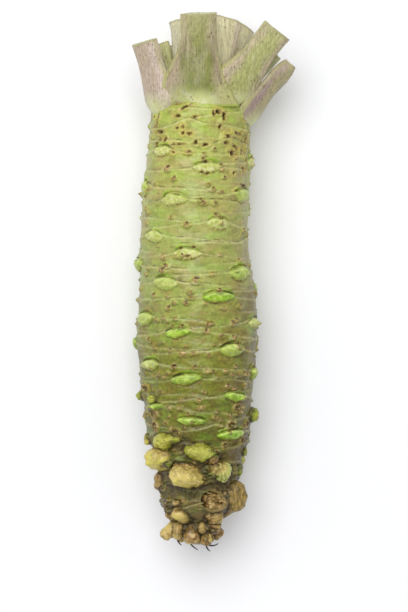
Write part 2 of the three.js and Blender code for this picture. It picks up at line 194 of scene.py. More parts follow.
# Holes and slits where a root or a leaf has torn off near the crown: x, y, half width, half
# height, slant in degrees, and how much yellow tissue swells round it.
PITS = [
    (-3.6, 146, 1.7, 0.4, 28, 0.3),
    (-7.5, 147.2, 2.4, 0.35, 0, 0.2),
    (6.9, 144.6, 1.2, 0.8, 0, 0.6),
    (8.6, 143.6, 0.7, 0.9, 20, 0.5),
    (5.4, 143.9, 0.5, 0.9, 10, 0.4),
    (8.8, 142.4, 0.6, 0.9, 0, 0.3),
    (-6.2, 143, 0.9, 0.4, 0, 0.4),
    (-0.7, 142.7, 0.7, 0.3, 0, 0.3),
    (-12.2, 143.3, 0.5, 1, 10, 0.4),
    (-13, 141, 0.5, 1.3, -20, 0.3),
    (7.7, 139.6, 0.6, 0.8, 0, 0.2),
    (-12, 138, 1.6, 0.6, 5, 0.2),
    (-4.7, 137.4, 0.6, 0.5, 0, 0.8),
    (-2.6, 137.2, 0.8, 0.6, 0, 0.8),
    (-4.6, 139.4, 0.4, 0.6, 0, 0.9),
    (-12.9, 134, 1, 0.9, 0, 0.2),
    (-10.4, 135.3, 0.5, 0.8, -15, 0.4),
    (-6, 133.8, 1.4, 0.25, 0, 0.5),
    (-0.5, 134.4, 0.7, 0.8, 0, 0.6),
    (2.9, 133.6, 1.1, 0.5, 12, 0.4),
    (9.7, 134.3, 1, 0.4, -5, 0.3),
    (12.6, 133.2, 1.3, 0.4, -30, 0.5),
    (11.7, 131, 1.6, 1.1, -30, 0.7),
    (13.3, 137.6, 1.2, 0.5, -20, 0.6),
    (10.4, 136.4, 1, 0.35, 15, 0.5),
    (14.6, 131.6, 0.7, 1.1, 20, 0.6),
    (15.9, 128.4, 0.5, 1.5, 0, 0.4),
    (-2.7, 131.2, 0.8, 0.4, 0, 0.8),
    (15.7, 136, 0.5, 1.6, 4, 0.5),
    (15.4, 142.6, 0.8, 0.8, 0, 0.3),
    (14.7, 125.6, 1.2, 0.9, 0, 0.4),
    (11.6, 124.4, 0.6, 0.6, 0, 0.3),
    (14.4, 120.4, 2.4, 0.45, -4, 0),
    (3, 127.9, 0.5, 0.25, 0, 0.3),
    (1.6, 124.6, 0.7, 0.5, 0, 0.4),
    (3.4, 124.2, 0.6, 0.4, 0, 0.4),
    (7.6, 109.4, 0.8, 0.25, 0, 0.3),
    (-1, 100, 0.6, 0.25, 0, 0),
    (-5.2, 99.6, 0.4, 0.25, 0, 0),
    (-3, 97, 0.9, 0.4, 0, 0.2),
]

# Broken knobs with flattish sides, where offshoots grew at the root end: degrees round the
# axis, y, how far it stands out, (how its end slopes sideways, and up), how ripe its skin is,
# from 0 for green over 1 for pale yellow to 2 for brown, and its corners (sideways, up).
BLOCKS = [
    (-42, 36, 2.6, (-0.1, 0), 0.5,
     ((-4.6, -0.6), (-2.6, -2.5), (0.8, -1.9), (4.8, 1.2), (3.6, 2), (-2.2, 2.5), (-4.2, 1.4))),
    (1, 33.2, 3.8, (-0.3, 0.1), 0.45,
     ((-4.5, 0.2), (-2.8, -1.6), (1.3, -2.9), (4.4, -0.9), (2, 1.5), (-0.4, 2.4))),
    (-52, 30.2, 6, (-0.2, 0.1), 0.85,
     ((-4.3, -1.8), (-2.6, -3.7), (1, -2.6), (4, -0.5), (1.2, 2.8), (-2.2, 3.8), (-4.4, 2.7))),
    (-19, 25, 5, (0, -0.12), 1,
     ((-5, -0.4), (-3.6, -2.7), (0.4, -3.9), (3.6, -3), (5, -1.4), (2.2, 3), (-0.4, 4.1),
      (-3.4, 3.5))),
    (33, 26.6, 4, (0.2, -0.1), 0.26,
     ((-4, -0.2), (-1.6, -2.6), (1.4, -3.7), (2.7, -1.8), (2.4, 1.8), (-0.6, 2.8), (-3.6, 2.4))),
    (76, 17.6, 4.8, (0.06, 0), 1.8,
     ((-2.8, -3.2), (-1, -5.3), (2.4, -4.4), (3.4, 2.2), (1.8, 5), (-1, 5.4), (-2.8, 3.2))),
    (-32, 11.9, 3, (0, -0.1), 1.05,
     ((-1.9, -1.2), (0.2, -2.3), (2.1, -1.2), (2.1, 0.9), (0.2, 2.2), (-1.9, 1.5))),
    (40, 11.6, 2.6, (0, -0.2), 1.3,
     ((-2.6, 0.8), (-1.6, -1.4), (1.4, -2.1), (2.3, 0.4), (1.2, 2), (-1, 2.1))),
    (53, 7.4, 3, (0, 0), 1.4,
     ((-2, 1.7), (-1.7, -1.5), (0.4, -2.1), (1.9, -1), (1.9, 1.7), (0, 2.2))),
    (-140, 32, 3.2, (0, 0), 0.8,
     ((-4.4, 0), (-2.6, -3), (2, -3.2), (4.4, -1), (3.4, 2.6), (-2, 3.2))),
    (128, 29, 3.8, (0.1, 0), 0.5,
     ((-4, -0.6), (-1.6, -3.6), (2.6, -3), (4.2, 0.4), (2, 3.4), (-2.4, 3))),
    (-172, 24, 4, (0, -0.1), 1.1,
     ((-4.8, -1), (-1.4, -3.8), (3, -3), (4.8, 0.6), (2, 3.6), (-3, 3.4))),
    (142, 16, 3.6, (0, 0), 1.5,
     ((-3.4, -1), (-1, -3.6), (2.6, -3), (3.6, 1), (1, 3.6), (-2.6, 2.8))),
]

# Which of those is torn into a fan of ribs, where the ribs start on its face (sideways, up),
# how many there are in a turn, how high they are, and how far from there they begin and are full.
FAN = 4
FAN_ROOT = (-4, 4)
FAN_RIBS = 40
FAN_RELIEF = 0.22
FAN_START = (4.6, 5.6)

# Round knobs there: degrees round the axis, y, (how far its end leans sideways, and up), how
# far it stands out, (radius at its base, and at its end), its height as a share of its width,
# how flat its end is, and how ripe its skin is.
KNOBS = [
    (-86, 51, (0, 0), 1.8, (2, 1.7), 1, 0, 0.3),
    (-52, 50, (-0.3, 0), 1.9, (1.8, 1.6), 1, 0.2, 0.4),
    (86, 44.8, (0, -0.3), 2.8, (2.6, 2.3), 1.1, 0, 0.35),
    (-86, 36.9, (0, -0.4), 2.9, (2.5, 2.1), 0.95, 0.4, 0.7),
    (-16, 37, (-4, -0.4), 0.8, (1, 1.7), 0.8, 0, 0),
    (11, 31.6, (2.4, -1), 1.5, (2.6, 1.5), 0.7, 0, 0.1),
    (-22, 30.6, (-5, -1.2), 1.2, (1.2, 2.6), 0.8, 0, 0.15),
    (8, 27.4, (4, 0.6), 0.8, (1.6, 2.4), 0.8, 0, 0.4),
    (18, 29.8, (0, 0.3), 3, (2.2, 1.7), 0.9, 0, 1.8),
    (80, 32.6, (0, 0), 2.6, (2, 1.8), 0.9, 0.3, 0.35),
    (70, 26.3, (0, 0), 3, (2.2, 2), 0.95, 0.5, 0.2),
    (-74, 23, (0, 0), 3.4, (2.5, 2.1), 1.5, 0.2, 1.5),
    (-50, 22, (0, 0), 1, (1.3, 1.1), 1, 0, 1.3),
    (-46, 20, (0, 0), 0.8, (1.2, 1), 1, 0, 1.3),
    (-60, 20, (0, 0), 0.8, (1.3, 1), 1, 0, 1.4),
    (-32, 15.4, (-1.6, 0.4), 1.6, (1.3, 1), 0.8, 0.2, 1.05),
    (-46, 11.4, (0, 0), 1.8, (1.3, 1), 2, 0, 1.5),
    (-62, 14, (0, 0), 1.4, (1.6, 1.2), 2.4, 0, 1.6),
    (24, 13.2, (1.8, -0.6), 1.3, (0.9, 0.8), 0.9, 0, 1),
    (-132, 20, (0, -0.5), 2.4, (3.6, 2.6), 1, 0.2, 1.5),
    (165, 38, (0, -1), 2.2, (4, 2.6), 0.7, 0.2, 0.4),
    (-160, 12, (0, -0.5), 2.4, (2.6, 2), 0.95, 0.3, 1.2),
    (110, 21, (0, 0), 1.8, (2, 1.6), 1, 0.2, 1.2),
    (-108, 27, (0, 0), 1.8, (2, 1.6), 1, 0.3, 0.6),
    (-104, 15, (0, 0), 1.6, (1.8, 1.4), 1.1, 0.2, 1.4),
    (108, 38, (0, -0.5), 1.8, (2.2, 1.7), 0.9, 0.3, 0.3),
]

# Stubs of old roots at the root end: where it begins, where its end is, (radius at its base,
# and at its end), and how ripe its skin is.
STUBS = [
    ((-7, 8, 3.6), (-10, 4.7, 4), (1.8, 2.2), 1.15),
    ((-6, 7.6, 6), (-6.6, 4.9, 6.6), (1.5, 1.65), 1.2),
    ((-1.6, 6.6, 6), (-1.8, 4.1, 6.8), (2.3, 2.9), 1.4),
    ((1.3, 8.4, 7), (1.7, 6.3, 7.7), (1.1, 1.4), 1.3),
    ((3.1, 7, 4.8), (3, 2.6, 5.2), (1.4, 1.7), 1.65),
    ((4.3, 6.8, 5.8), (4.1, 2.8, 6.6), (0.5, 0.7), 1.15),
    ((5.2, 8.2, 5.4), (5.6, 6, 6.6), (0.8, 0.75), 1.2),
    ((4, 8, 0), (7.2, 4.8, -1.4), (2, 2), 1.5),
    ((2, 8, -3), (4.6, 3.6, -4.6), (2.2, 2.2), 1.4),
    ((0, 8, -3), (-0.6, 2.9, -5.6), (2.4, 2.4), 1.35),
    ((-3, 8, -3), (-5.4, 3.8, -4.4), (2.2, 2.2), 1.45),
    ((-5, 8, -1), (-8.8, 5, -2.2), (1.9, 1.9), 1.5),
    ((0, 7, 0), (0.4, 3.4, 0.4), (2.4, 2.4), 1.7),
    ((-3, 7, 0), (-3.8, 3.8, -0.4), (2, 1.9), 1.7),
    ((3, 7, 0), (3.8, 3.4, -0.8), (2, 1.9), 1.6),
]

# A hollow scar at the root end, where an offshoot tore out: degrees round the axis, y, the
# radius of its rim, and the radius of the torn core inside it.
HOLLOW = (23, 16.6, 3.5, 3)

# The leaf stalks, with the numbers that the CAD model gives them, the colours of the middle of
# the back and of the sides, how far up from its foot the pale skin reaches (pale), and how
# much of the colour is gone at the cut (faded). blunt says how much the tip rounds off, and
# flared that the right side runs down in a wing, straight to the base's full width.
STALKS = {
    "stalk_front_center": dict(
        at=-1, root=(10.4, 146.4), facing=0, end=(0.4, 176.8, 15), spread=0.2,
        base=(13, 5.8, 1.6), cut=(5.9, 3.6, -2.6), taper=(0.2, 0.85),
        middle=(126, 132, 52), side=(172, 156, 128), faded=1, flared=True,
    ),
    "stalk_left_outer": dict(
        at=-64, root=(11.6, 144.6), facing=-48, end=(-17.2, 168.2, 8.6), spread=0.4,
        base=(9.8, 5.2, 1.4), cut=(5.7, 3.6, -1.4), taper=(0.1, 0.8),
        middle=(192, 173, 150), side=(200, 182, 166), pale=10, faded=0.1,
    ),
    "stalk_right_front": dict(
        at=40, root=(9.8, 147), facing=22, end=(26.3, 171.8, 10.5), spread=0.36,
        base=(9.6, 4.6, 1), cut=(5.2, 2.9, -2.2), taper=(0.1, 0.8),
        middle=(174, 176, 110), side=(188, 172, 142),
    ),
    "stalk_right_outer": dict(
        at=84, root=(11.2, 141.4), facing=62, end=(30.6, 161.8, 2.6), spread=0.4,
        base=(9.4, 5, 1.4), cut=(4.8, 3.2, -0.8), taper=(0.1, 0.75), blunt=0.88,
        middle=(176, 166, 122), side=(162, 140, 134),
    ),
    "stalk_under_right": dict(
        at=158, root=(11.2, 144), facing=164, end=(8, 170, -15.3), spread=0.2,
        base=(10.4, 5.2, 1.4), cut=(6, 3.4, -2.4), taper=(0.15, 0.8),
        middle=(166, 168, 112), side=(176, 158, 136),
    ),
    "stalk_under_left": dict(
        at=-134, root=(11.4, 145), facing=-146, end=(-11.5, 168, -15), spread=0.2,
        base=(10, 5.2, 1.4), cut=(5.8, 3.4, -2.4), taper=(0.15, 0.8),
        middle=(178, 164, 136), side=(184, 164, 150),
    ),
    "stalk_right_inner": dict(
        at=104, root=(9.4, 147), facing=72, end=(25.6, 165.4, -2.4), spread=0.36,
        base=(7.6, 4, 0.6), cut=(5, 2.6, -1.6), taper=(0.1, 0.8),
        middle=(176, 180, 112), side=(190, 186, 132),
    ),
    "stalk_left_inner": dict(
        at=-84, root=(8, 148), facing=-70, end=(-11.6, 167.6, -2.4), spread=0.3,
        base=(7, 3.6, 0), cut=(4.6, 2.6, -1.6), taper=(0.1, 0.8),
        middle=(184, 190, 124), side=(194, 196, 140),
    ),
    "stalk_back_left": dict(
        at=-40, root=(6, 149), facing=-50, end=(-5.6, 175.6, 3.2), spread=0.3,
        base=(6, 3.4, -0.6), cut=(5, 2.8, -1.8), taper=(0.1, 0.8),
        middle=(218, 212, 180), side=(206, 198, 166),
    ),
    "stalk_back_center": dict(
        at=30, root=(5, 149), facing=20, end=(9, 176.4, 2), spread=0.3,
        base=(6, 3.2, -0.8), cut=(6.2, 3, -1.8), taper=(0.1, 0.8),
        middle=(232, 224, 182), side=(230, 212, 190),
    ),
    "stalk_back_right": dict(
        at=130, root=(5, 150), facing=60, end=(16, 174, -5), spread=0.3,
        base=(5, 3, -1), cut=(5.4, 2.8, -1.8), taper=(0.1, 0.8),
        middle=(226, 218, 178), side=(216, 202, 174),
    ),
    "stalk_heart": dict(
        at=-150, root=(3.4, 151), facing=-160, end=(0.4, 171.5, -5.4), spread=0.3,
        base=(5, 2.6, -1.2), cut=(4.6, 2.6, -2), taper=(0.1, 0.8),
        middle=(196, 202, 140), side=(200, 196, 150),
    ),
}

# Fine dead rootlets at the root end: the points that each one follows.
ROOTLETS = [
    ((-6.4, 3, 4.6), (-5.9, 1.8, 4.8), (-5.1, 1.3, 4.4)),
    ((-2.2, 1.9, 4.4), (-1.2, 0.5, 4.5), (0.3, -0.2, 4.2)),
    ((3.1, 0.9, 4), (3.6, -0.2, 4.3), (4.3, -0.7, 4)),
    ((3.9, 1.3, 3.6), (5.6, 0.7, 4.2), (7.1, 1.9, 4.4)),
]

# ---- Where the axis is in the frame ----

rhizome_low, rhizome_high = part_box("rhizome")
AXIS_ORIGIN = np.array([
    (rhizome_low[0] + rhizome_high[0]) / 2 / MM,
    rhizome_high[1] / MM - CROWN_Y,
    AXIS_HEIGHT,
])

# ---- Curves and noise ----

STEEPEST = 0.985  # how far to the side a place seen from above can be, as a share of the radius


def smoothstep(value, low, high):
    t = np.clip((value - low) / (high - low), 0, 1)
    return t * t * (3 - 2 * t)


def bell(value, width):
    return np.exp(-((value / width) ** 2))


def lerp(a, b, t):
    return a + (b - a) * t


def curve_through(points, at):
    """A smooth curve through (place, value) points, read at the given places."""
    place, value = np.array(points, float).T
    slope = np.gradient(value, place)
    at = np.clip(at, place[0], place[-1])
    i = np.clip(np.searchsorted(place, at) - 1, 0, len(place) - 2)
    step = place[i + 1] - place[i]
    t = (at - place[i]) / step
    rise = value[i + 1] - value[i]
    ease = t * t * (3 - 2 * t)
    start = slope[i] * step * t * (1 - t) ** 2
    finish = slope[i + 1] * step * t * t * (t - 1)
    return value[i] + rise * ease + start + finish


def lattice(ix, iy, iz, seed):
    """A repeatable number from -1 to 1 for each point of a lattice."""
    n = (ix * 374761393 + iy * 668265263 + iz * 1274126177 + seed * 974711) & 0xFFFFFFFF
    n = ((n ^ (n >> 13)) * 1103515245) & 0xFFFFFFFF
    n = ((n ^ (n >> 15)) * 12345) & 0xFFFFFFFF
    return ((n ^ (n >> 16)) & 0xFFFF) / 32767.5 - 1


def noise(points, size, seed, octaves=1):
    """Smooth noise, about -1 to 1, whose features are size across (a number, or one an axis)."""
    total = 0
    for octave in range(octaves):
        scaled = points / np.array(size, float) * 2**octave + 7.3 * octave
        cell = np.floor(scaled).astype(np.int64)
        t = scaled - cell
        t = t * t * t * (t * (t * 6 - 15) + 10)
        value = 0
        for corner in range(8):
            dx, dy, dz = corner & 1, corner >> 1 & 1, corner >> 2
            weight = 1
            for axis, d in enumerate((dx, dy, dz)):
                weight = weight * (t[..., axis] if d else 1 - t[..., axis])
            x, y, z = cell[..., 0] + dx, cell[..., 1] + dy, cell[..., 2] + dz
            value = value + weight * lattice(x, y, z, seed + octave)
        total = total + value * 0.55**octave
    return total * 1.4


def unit(vectors):
    """Vectors made 1 long."""
    return vectors / np.maximum(np.linalg.norm(vectors, axis=-1, keepdims=True), TINY)


def bent(a, b, c, t):
    """Places on a curve that leaves a toward b and arrives at c from b."""
    return (1 - t) ** 2 * a + 2 * t * (1 - t) * b + t**2 * c


def keep_above_floor(points):
    points[..., 2] = np.maximum(points[..., 2], -AXIS_HEIGHT)


def outward_at(degrees):
    angle = np.radians(degrees)
    return np.stack([np.sin(angle), np.zeros_like(angle), np.cos(angle)], -1)


def turn_between(a, b):
    """The turn from angle b to angle a, from -180 to 180 degrees."""
    return (a - b + 180) % 360 - 180


def body_radius(y):
    return curve_through(OUTLINE, y)


def axis_x(y):
    return curve_through(SWAY, y)


def around(degrees, radius, y):
    """Points at a distance from the swaying axis."""
    degrees, radius, y = np.broadcast_arrays(*(np.asarray(v, float) for v in (degrees, radius, y)))
    points = outward_at(degrees) * radius[..., None]
    points[..., 0] += axis_x(y)
    points[..., 1] += y
    return points


def angle_above(x, y):
    """The angle round the axis of the place on the body's upper side at x and y."""
    share = (x - axis_x(y)) / body_radius(y)
    return np.degrees(np.arcsin(np.clip(share, -STEEPEST, STEEPEST)))


def skin_place(at, y):
    """A place on the body, and the directions sideways, up and outward there."""
    outward = outward_at(at)
    axes = np.array([np.cross([0, 1, 0], outward), (0, 1, 0), outward])
    return around(at, body_radius(y), y), axes


# ---- Meshes ----


def tube_faces(rows, columns):
    """Quads of a grid that closes on itself along its columns, and a fan over each end.

    The fans' middles are the two vertices that come after the grid's."""
    index = np.arange(rows * columns).reshape(rows, columns)
    after = np.roll(index, -1, 1)
    wall = np.stack([index[:-1], after[:-1], after[1:], index[1:]], -1).reshape(-1, 4)
    start = np.stack([after[0], index[0], np.full(columns, rows * columns)], -1)
    end = np.stack([index[-1], after[-1], np.full(columns, rows * columns + 1)], -1)
    return wall, start, end


def add_to_scene(name, data):
    made = bpy.data.objects.new(name, data)
    bpy.context.scene.collection.objects.link(made)
    return made


def add_piece(name, vertices, faces, masks, material, slot, *nodes, normals=None):
    """A piece in the frame that stands for CAD nodes, with a number at each vertex per mask."""
    mesh = bpy.data.meshes.new(name)
    placed = (np.asarray(vertices) + AXIS_ORIGIN) * MM
    mesh.from_pydata(placed.tolist(), [], [f for group in faces for f in group.tolist()])
    mesh.polygons.foreach_set("use_smooth", [True] * len(mesh.polygons))
    for mask, values in masks.items():
        layer = mesh.attributes.new(mask, "FLOAT", "POINT")
        layer.data.foreach_set("value", np.asarray(values, np.float32).ravel())
    if normals is not None:
        mesh.normals_split_custom_set_from_vertices(normals.tolist())
    mesh.materials.append(material)
    piece = add_to_scene(name, mesh)
    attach(piece, "root")
    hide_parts(*nodes)


# ---- Materials ----


def colour(red, green, blue):
    """A colour as seen, from 0 to 255 a channel, in the linear form that a shader takes."""
    seen = np.array([red, green, blue]) / 255
    linear = np.where(seen <= 0.04045, seen / 12.92, ((seen + 0.055) / 1.055) ** 2.4)
    return (*linear.tolist(), 1.0)


class Shader:
    """A material's node tree, with a short way to write each kind of node."""

    def __init__(self, name, roughness, specular=0.4):
        self.material = bpy.data.materials.new(name)
        self.material.use_nodes = True
        self.tree = self.material.node_tree
        self.surface = self.tree.nodes["Principled BSDF"]
        self.surface.inputs["Roughness"].default_value = roughness
        self.surface.inputs["Specular IOR Level"].default_value = specular
        self.base = None

    def node(self, kind, inputs=None, **settings):
        made = self.tree.nodes.new("ShaderNode" + kind)
        for key, value in settings.items():
            setattr(made, key, value)
        for key, value in (inputs or {}).items():
            self.put(value, made.inputs[key])
        return made

    def put(self, value, socket):
        if isinstance(value, bpy.types.NodeSocket):
            self.tree.links.new(value, socket)
        else:
            socket.default_value = value

    def mask(self, name):
        return self.node("Attribute", attribute_name=name).outputs["Fac"]

    def place(self, scale=(1, 1, 1)):
        """The place on the object, in millimetres, stretched by scale."""
        place = self.node("TexCoord").outputs["Object"]
        factors = tuple(s / MM for s in scale)
        return self.node("Mapping", {"Vector": place, "Scale": factors}).outputs["Vector"]

    def noise(self, size, detail=2, stretch=(1, 1, 1), roughness=0.5):
        """Noise whose features are size millimetres across."""
        scale = tuple(1 / (size * s) for s in stretch)
        inputs = {"Vector": self.place(scale), "Scale": 1, "Detail": detail, "Roughness": roughness}
        return self.node("TexNoise", inputs).outputs["Fac"]

    def ramp(self, factor, *stops):
        made = self.node("ValToRGB", {"Fac": factor})
        elements = made.color_ramp.elements
        while len(elements) < len(stops):
            elements.new(1)
        for element, (position, *rgb) in zip(elements, stops):
            element.position = position
            element.color = colour(*rgb)
        return made.outputs["Color"]

    def range(self, value, low, high, to_low=0.0, to_high=1.0):
        inputs = {"Value": value, "From Min": low, "From Max": high}
        inputs.update({"To Min": to_low, "To Max": to_high})
        made = self.node("MapRange", inputs, interpolation_type="SMOOTHSTEP")
        return made.outputs["Result"]

    def maths(self, operation, a, b):
        made = self.node("Math", operation=operation)
        self.put(a, made.inputs[0])
        self.put(b, made.inputs[1])
        return made.outputs["Value"]

    def times(self, a, b):
        return self.maths("MULTIPLY", a, b)

    def spread(self, value, amount):
        """Noise round zero, up to about the amount."""
        return self.times(self.maths("SUBTRACT", value, 0.5), amount)

    def mix(self, factor, a, b, blend="MIX"):
        made = self.node("Mix", data_type="RGBA", blend_type=blend)
        self.put(factor, made.inputs[0])
        self.put(a, made.inputs[6])
        self.put(b, made.inputs[7])
        return made.outputs[2]

    def over(self, factor, layer):
        """Lays a colour over what is there so far."""
        self.base = self.mix(factor, self.base, layer)

    def shade(self, factor):
        """Darkens or lightens what is there so far."""
        self.base = self.mix(1.0, self.base, factor, "MULTIPLY")

    def patches(self, size, detail, low, high, amount, stretch=(1, 1, 1)):
        """Where noise is high, up to the amount: patches whose edges go from low to high."""
        return self.times(self.range(self.noise(size, detail, stretch), low, high), amount)

    def grain(self, size, detail, stretch, darkest, lightest):
        """Darkens and lightens what is there so far by noise."""
        self.shade(self.range(self.noise(size, detail, stretch), 0.3, 0.7, darkest, lightest))

    def finish(self, height=None, depth=0.1):
        """height is bump, and depth is how deep it goes in millimetres."""
        self.put(self.base, self.surface.inputs["Base Color"])
        if height is not None:
            bump = self.node("Bump", {"Height": height, "Distance": depth * MM, "Strength": 1})
            self.put(bump.outputs["Normal"], self.surface.inputs["Normal"])
        return self.material


def lay_body_colours(s, along):
    """The skin between the buds, with patches and bruised spots, and bark at the root end.
    Shade is painted down the sides.
    """
    drift = s.maths("ADD", along, s.spread(s.noise(9, 3), 0.18))
    s.base = s.ramp(
        drift, (0.02, 132, 112, 68), (0.1, 116, 106, 60), (0.2, 104, 98, 36), (0.28, 114, 118, 32),
        (0.4, 124, 126, 36), (0.55, 158, 168, 80), (0.75, 166, 172, 90), (0.88, 174, 178, 94),
        (0.96, 176, 186, 90),
    )
    tan = s.ramp(
        along, (0.05, 112, 88, 50), (0.25, 114, 92, 38), (0.45, 140, 120, 48),
        (0.7, 180, 169, 102), (0.9, 190, 172, 100),
    )
    s.over(s.patches(6, 2, 0.44, 0.64, 0.7, (1, 0.6, 1)), tan)
    green = s.ramp(
        along, (0.05, 102, 106, 44), (0.25, 110, 142, 34), (0.45, 134, 162, 54),
        (0.7, 162, 186, 90), (0.9, 170, 194, 72),
    )
    s.over(s.patches(5.6, 2, 0.48, 0.66, 0.65, (1.3, 0.6, 1.3)), green)
    olive = s.ramp(along, (0.1, 68, 58, 26), (0.4, 98, 92, 34), (0.9, 130, 124, 48))
    s.over(s.patches(4.4, 3, 0.52, 0.7, 0.5, (1.3, 0.6, 1.3)), olive)
    # the brown of bruised spots, also laid as painted shade down the sides
    bruise_and_side_shade = s.ramp(
        along, (0.2, 86, 66, 24), (0.5, 106, 90, 32), (0.8, 172, 157, 102),
        (0.88, 156, 140, 86), (0.94, 116, 102, 42),
    )
    s.over(s.mask("bruise_and_side_shade"), bruise_and_side_shade)
    bark = s.ramp(s.noise(1.8, 5), (0.33, 66, 52, 26), (0.5, 106, 90, 50), (0.66, 152, 138, 88))
    s.over(s.mask("woody"), bark)


def lay_bud_colours(s, along):
    """Leaf scars and buds, and the yellowish skin round root scars and pits.
    Highlights are painted along the leaf scars' ledges and the buds' upper parts.
    """
    # painted highlight along the raised ledge below each leaf scar's line
    s.over(s.mask("ledge"), s.mix(0.5, s.base, colour(224, 220, 156)))
    halo = s.ramp(along, (0.25, 150, 144, 52), (0.6, 182, 178, 84), (0.85, 204, 196, 96))
    s.over(s.mask("halo"), halo)
    s.over(s.mask("mint"), colour(180, 198, 112))
    buds = s.ramp(s.noise(1.8, 2), (0.36, 128, 166, 30), (0.5, 156, 198, 48), (0.64, 190, 216, 88))
    s.over(s.mask("bud"), buds)
    whitish = s.ramp(
        s.noise(1.1, 4), (0.36, 180, 184, 84), (0.5, 208, 208, 124), (0.64, 228, 226, 168)
    )
    s.over(s.mask("pale"), whitish)
    # painted highlight along the upper part of the buds
    s.over(s.mask("bud_highlight"), colour(206, 222, 126))


def knob_colour(s):
    """Knobs and stubs: green, then pale yellow and brown as they ripen, and torn in places.
    Shade is painted at their feet, and highlights where they stand out.
    """
    ripe = s.mask("ripe")
    tone = s.maths("ADD", s.times(ripe, 0.5), s.spread(s.noise(2.4, 4), 0.36))
    knob = s.ramp(
        tone, (0.02, 118, 140, 38), (0.2, 166, 178, 54), (0.42, 212, 200, 88),
        (0.56, 208, 182, 104), (0.72, 172, 142, 80), (0.95, 140, 120, 60),
    )
    pinkish = s.times(s.range(ripe, 0.6, 0.9), s.range(ripe, 1.1, 1.3, 0.65, 0.0))
    creamy = s.patches(4, 2, 0.45, 0.6, pinkish)
    knob = s.mix(creamy, knob, s.mix(0.55, knob, colour(224, 194, 142)))
    mossy = s.patches(2.8, 4, 0.5, 0.6, 0.6)
    knob = s.mix(mossy, knob, s.mix(0.6, knob, colour(112, 98, 40)))
    specks = s.patches(0.7, 3, 0.52, 0.64, s.range(s.noise(4, 3), 0.44, 0.6))
    knob = s.mix(s.times(specks, 0.85), knob, colour(116, 82, 40))
    torn = s.ramp(s.noise(1.1, 4), (0.36, 86, 58, 26), (0.5, 150, 112, 60), (0.64, 214, 184, 124))
    knob = s.mix(s.mask("rough"), knob, torn)
    streaks = s.range(s.noise(0.7, 3, (1, 5, 1)), 0.36, 0.64, 0.66, 1.4)
    streaked = s.mix(1.0, knob, streaks, "MULTIPLY")
    knob = s.mix(s.range(ripe, 1.5, 1.7), knob, streaked)
    ribbed = s.ramp(s.mask("ribs"), (0.1, 150, 164, 62), (0.5, 174, 184, 90), (0.9, 214, 216, 150))
    knob = s.mix(s.times(s.mask("fan"), 0.85), knob, ribbed)
    # painted shade at the knobs' feet and on the deep side of the hollow's core
    knob = s.mix(s.mask("painted_shade"), knob, s.mix(0.75, knob, colour(70, 58, 22)))
    # painted highlight where the knobs stand out most, and on the lit side of the hollow's paler
    # core
    return s.mix(s.times(s.mask("painted_highlight"), 0.45), knob, s.mix(0.7, knob, colour(228, 214, 124)))


def skin_material():
    """The rhizome's skin: fresh green at the crown, olive and then brown at the root end."""
    s = Shader("rhizome_skin", roughness=0.36, specular=0.45)
    along = s.mask("along")
    lay_body_colours(s, along)
    lay_bud_colours(s, along)
    s.grain(0.5, 3, (1, 5, 1), 0.92, 1.07)
    fine = s.noise(1, 4, (1.3, 0.9, 1.3))
    strong = s.range(fine, 0.32, 0.68, 0.76, 1.2)
    s.shade(s.mix(s.range(along, 0.3, 0.7), strong, s.range(fine, 0.3, 0.7, 0.9, 1.1)))
    s.over(s.mask("knob"), knob_colour(s))
    corky = s.ramp(s.noise(0.8, 3), (0.36, 96, 68, 34), (0.5, 156, 124, 70), (0.64, 212, 184, 124))
    s.over(s.mask("scar"), corky)
    # the scars' own dark lines, and painted shade in slits, gaps, hollows and troughs and under the
    # lumps
    s.over(s.mask("crease_and_shade"), colour(50, 38, 18))
    s.over(s.mask("pit"), s.ramp(along, (0.4, 50, 38, 20), (0.9, 78, 58, 34)))
    wrinkles = s.times(s.noise(0.8, 4, (2.2, 0.7, 2.2)), s.range(along, 0.15, 0.45, 1.0, 0.2))
    wrinkles = s.times(wrinkles, s.range(s.mask("knob"), 0, 1, 1.0, 0.4))
    return s.finish(wrinkles, 0.3)


def stalk_material(name, middle, side):
    """A stalk's skin: one colour along the middle of its back and another at its sides."""
    s = Shader(name, roughness=0.42, specular=0.4)
    broad = s.noise(5, 4, (1, 2, 1))
    flank = s.maths("ADD", s.mask("flank"), s.spread(broad, 0.9))
    s.base = s.mix(s.range(flank, 0.2, 0.75), colour(*middle), colour(*side))
    light = tuple(lerp(v, 235, 0.22) for v in side)
    s.over(s.patches(3.5, 4, 0.52, 0.68, 0.25, (1, 2.4, 1)), colour(*light))
    dark = tuple(v * 0.84 for v in middle)
    s.over(s.patches(2.6, 4, 0.54, 0.68, 0.5, (1, 3, 1)), colour(*dark))
    s.over(s.times(s.mask("top"), 0.55), colour(194, 188, 140))
    s.grain(0.5, 3, (1, 12, 1), 0.82, 1.14)
    s.grain(0.9, 4, (1, 1.3, 1), 0.9, 1.09)
    s.over(s.mask("base"), s.ramp(s.noise(3, 2), (0.4, 214, 218, 150), (0.6, 230, 232, 184)))
    s.over(s.times(s.mask("wing"), 0.75), colour(184, 187, 110))
    s.over(s.mask("rim"), colour(160, 176, 70))
    dashes = s.patches(0.5, 2, 0.6, 0.67, s.times(s.range(broad, 0.4, 0.56), 0.7), (1, 2.8, 1))
    s.over(dashes, colour(100, 82, 48))
    s.over(s.patches(1, 2, 0.69, 0.73, 0.7), colour(130, 90, 60))
    s.over(s.mask("cut_end"), colour(176, 168, 122))
    s.over(s.mask("face"), s.ramp(s.noise(0.5, 3), (0.35, 176, 182, 120), (0.65, 214, 216, 168)))
    s.over(s.mask("bundle"), colour(120, 134, 70))
    return s.finish(s.noise(0.5, 3, (1, 10, 1)), 0.14)


def rootlet_material():
    s = Shader("rootlet", roughness=0.8)
    s.base = s.ramp(s.noise(0.5), (0.4, 24, 18, 14), (0.6, 62, 48, 36))
    return s.finish()


# ---- The skin, as tables over the body: a row along y, a column round the axis ----

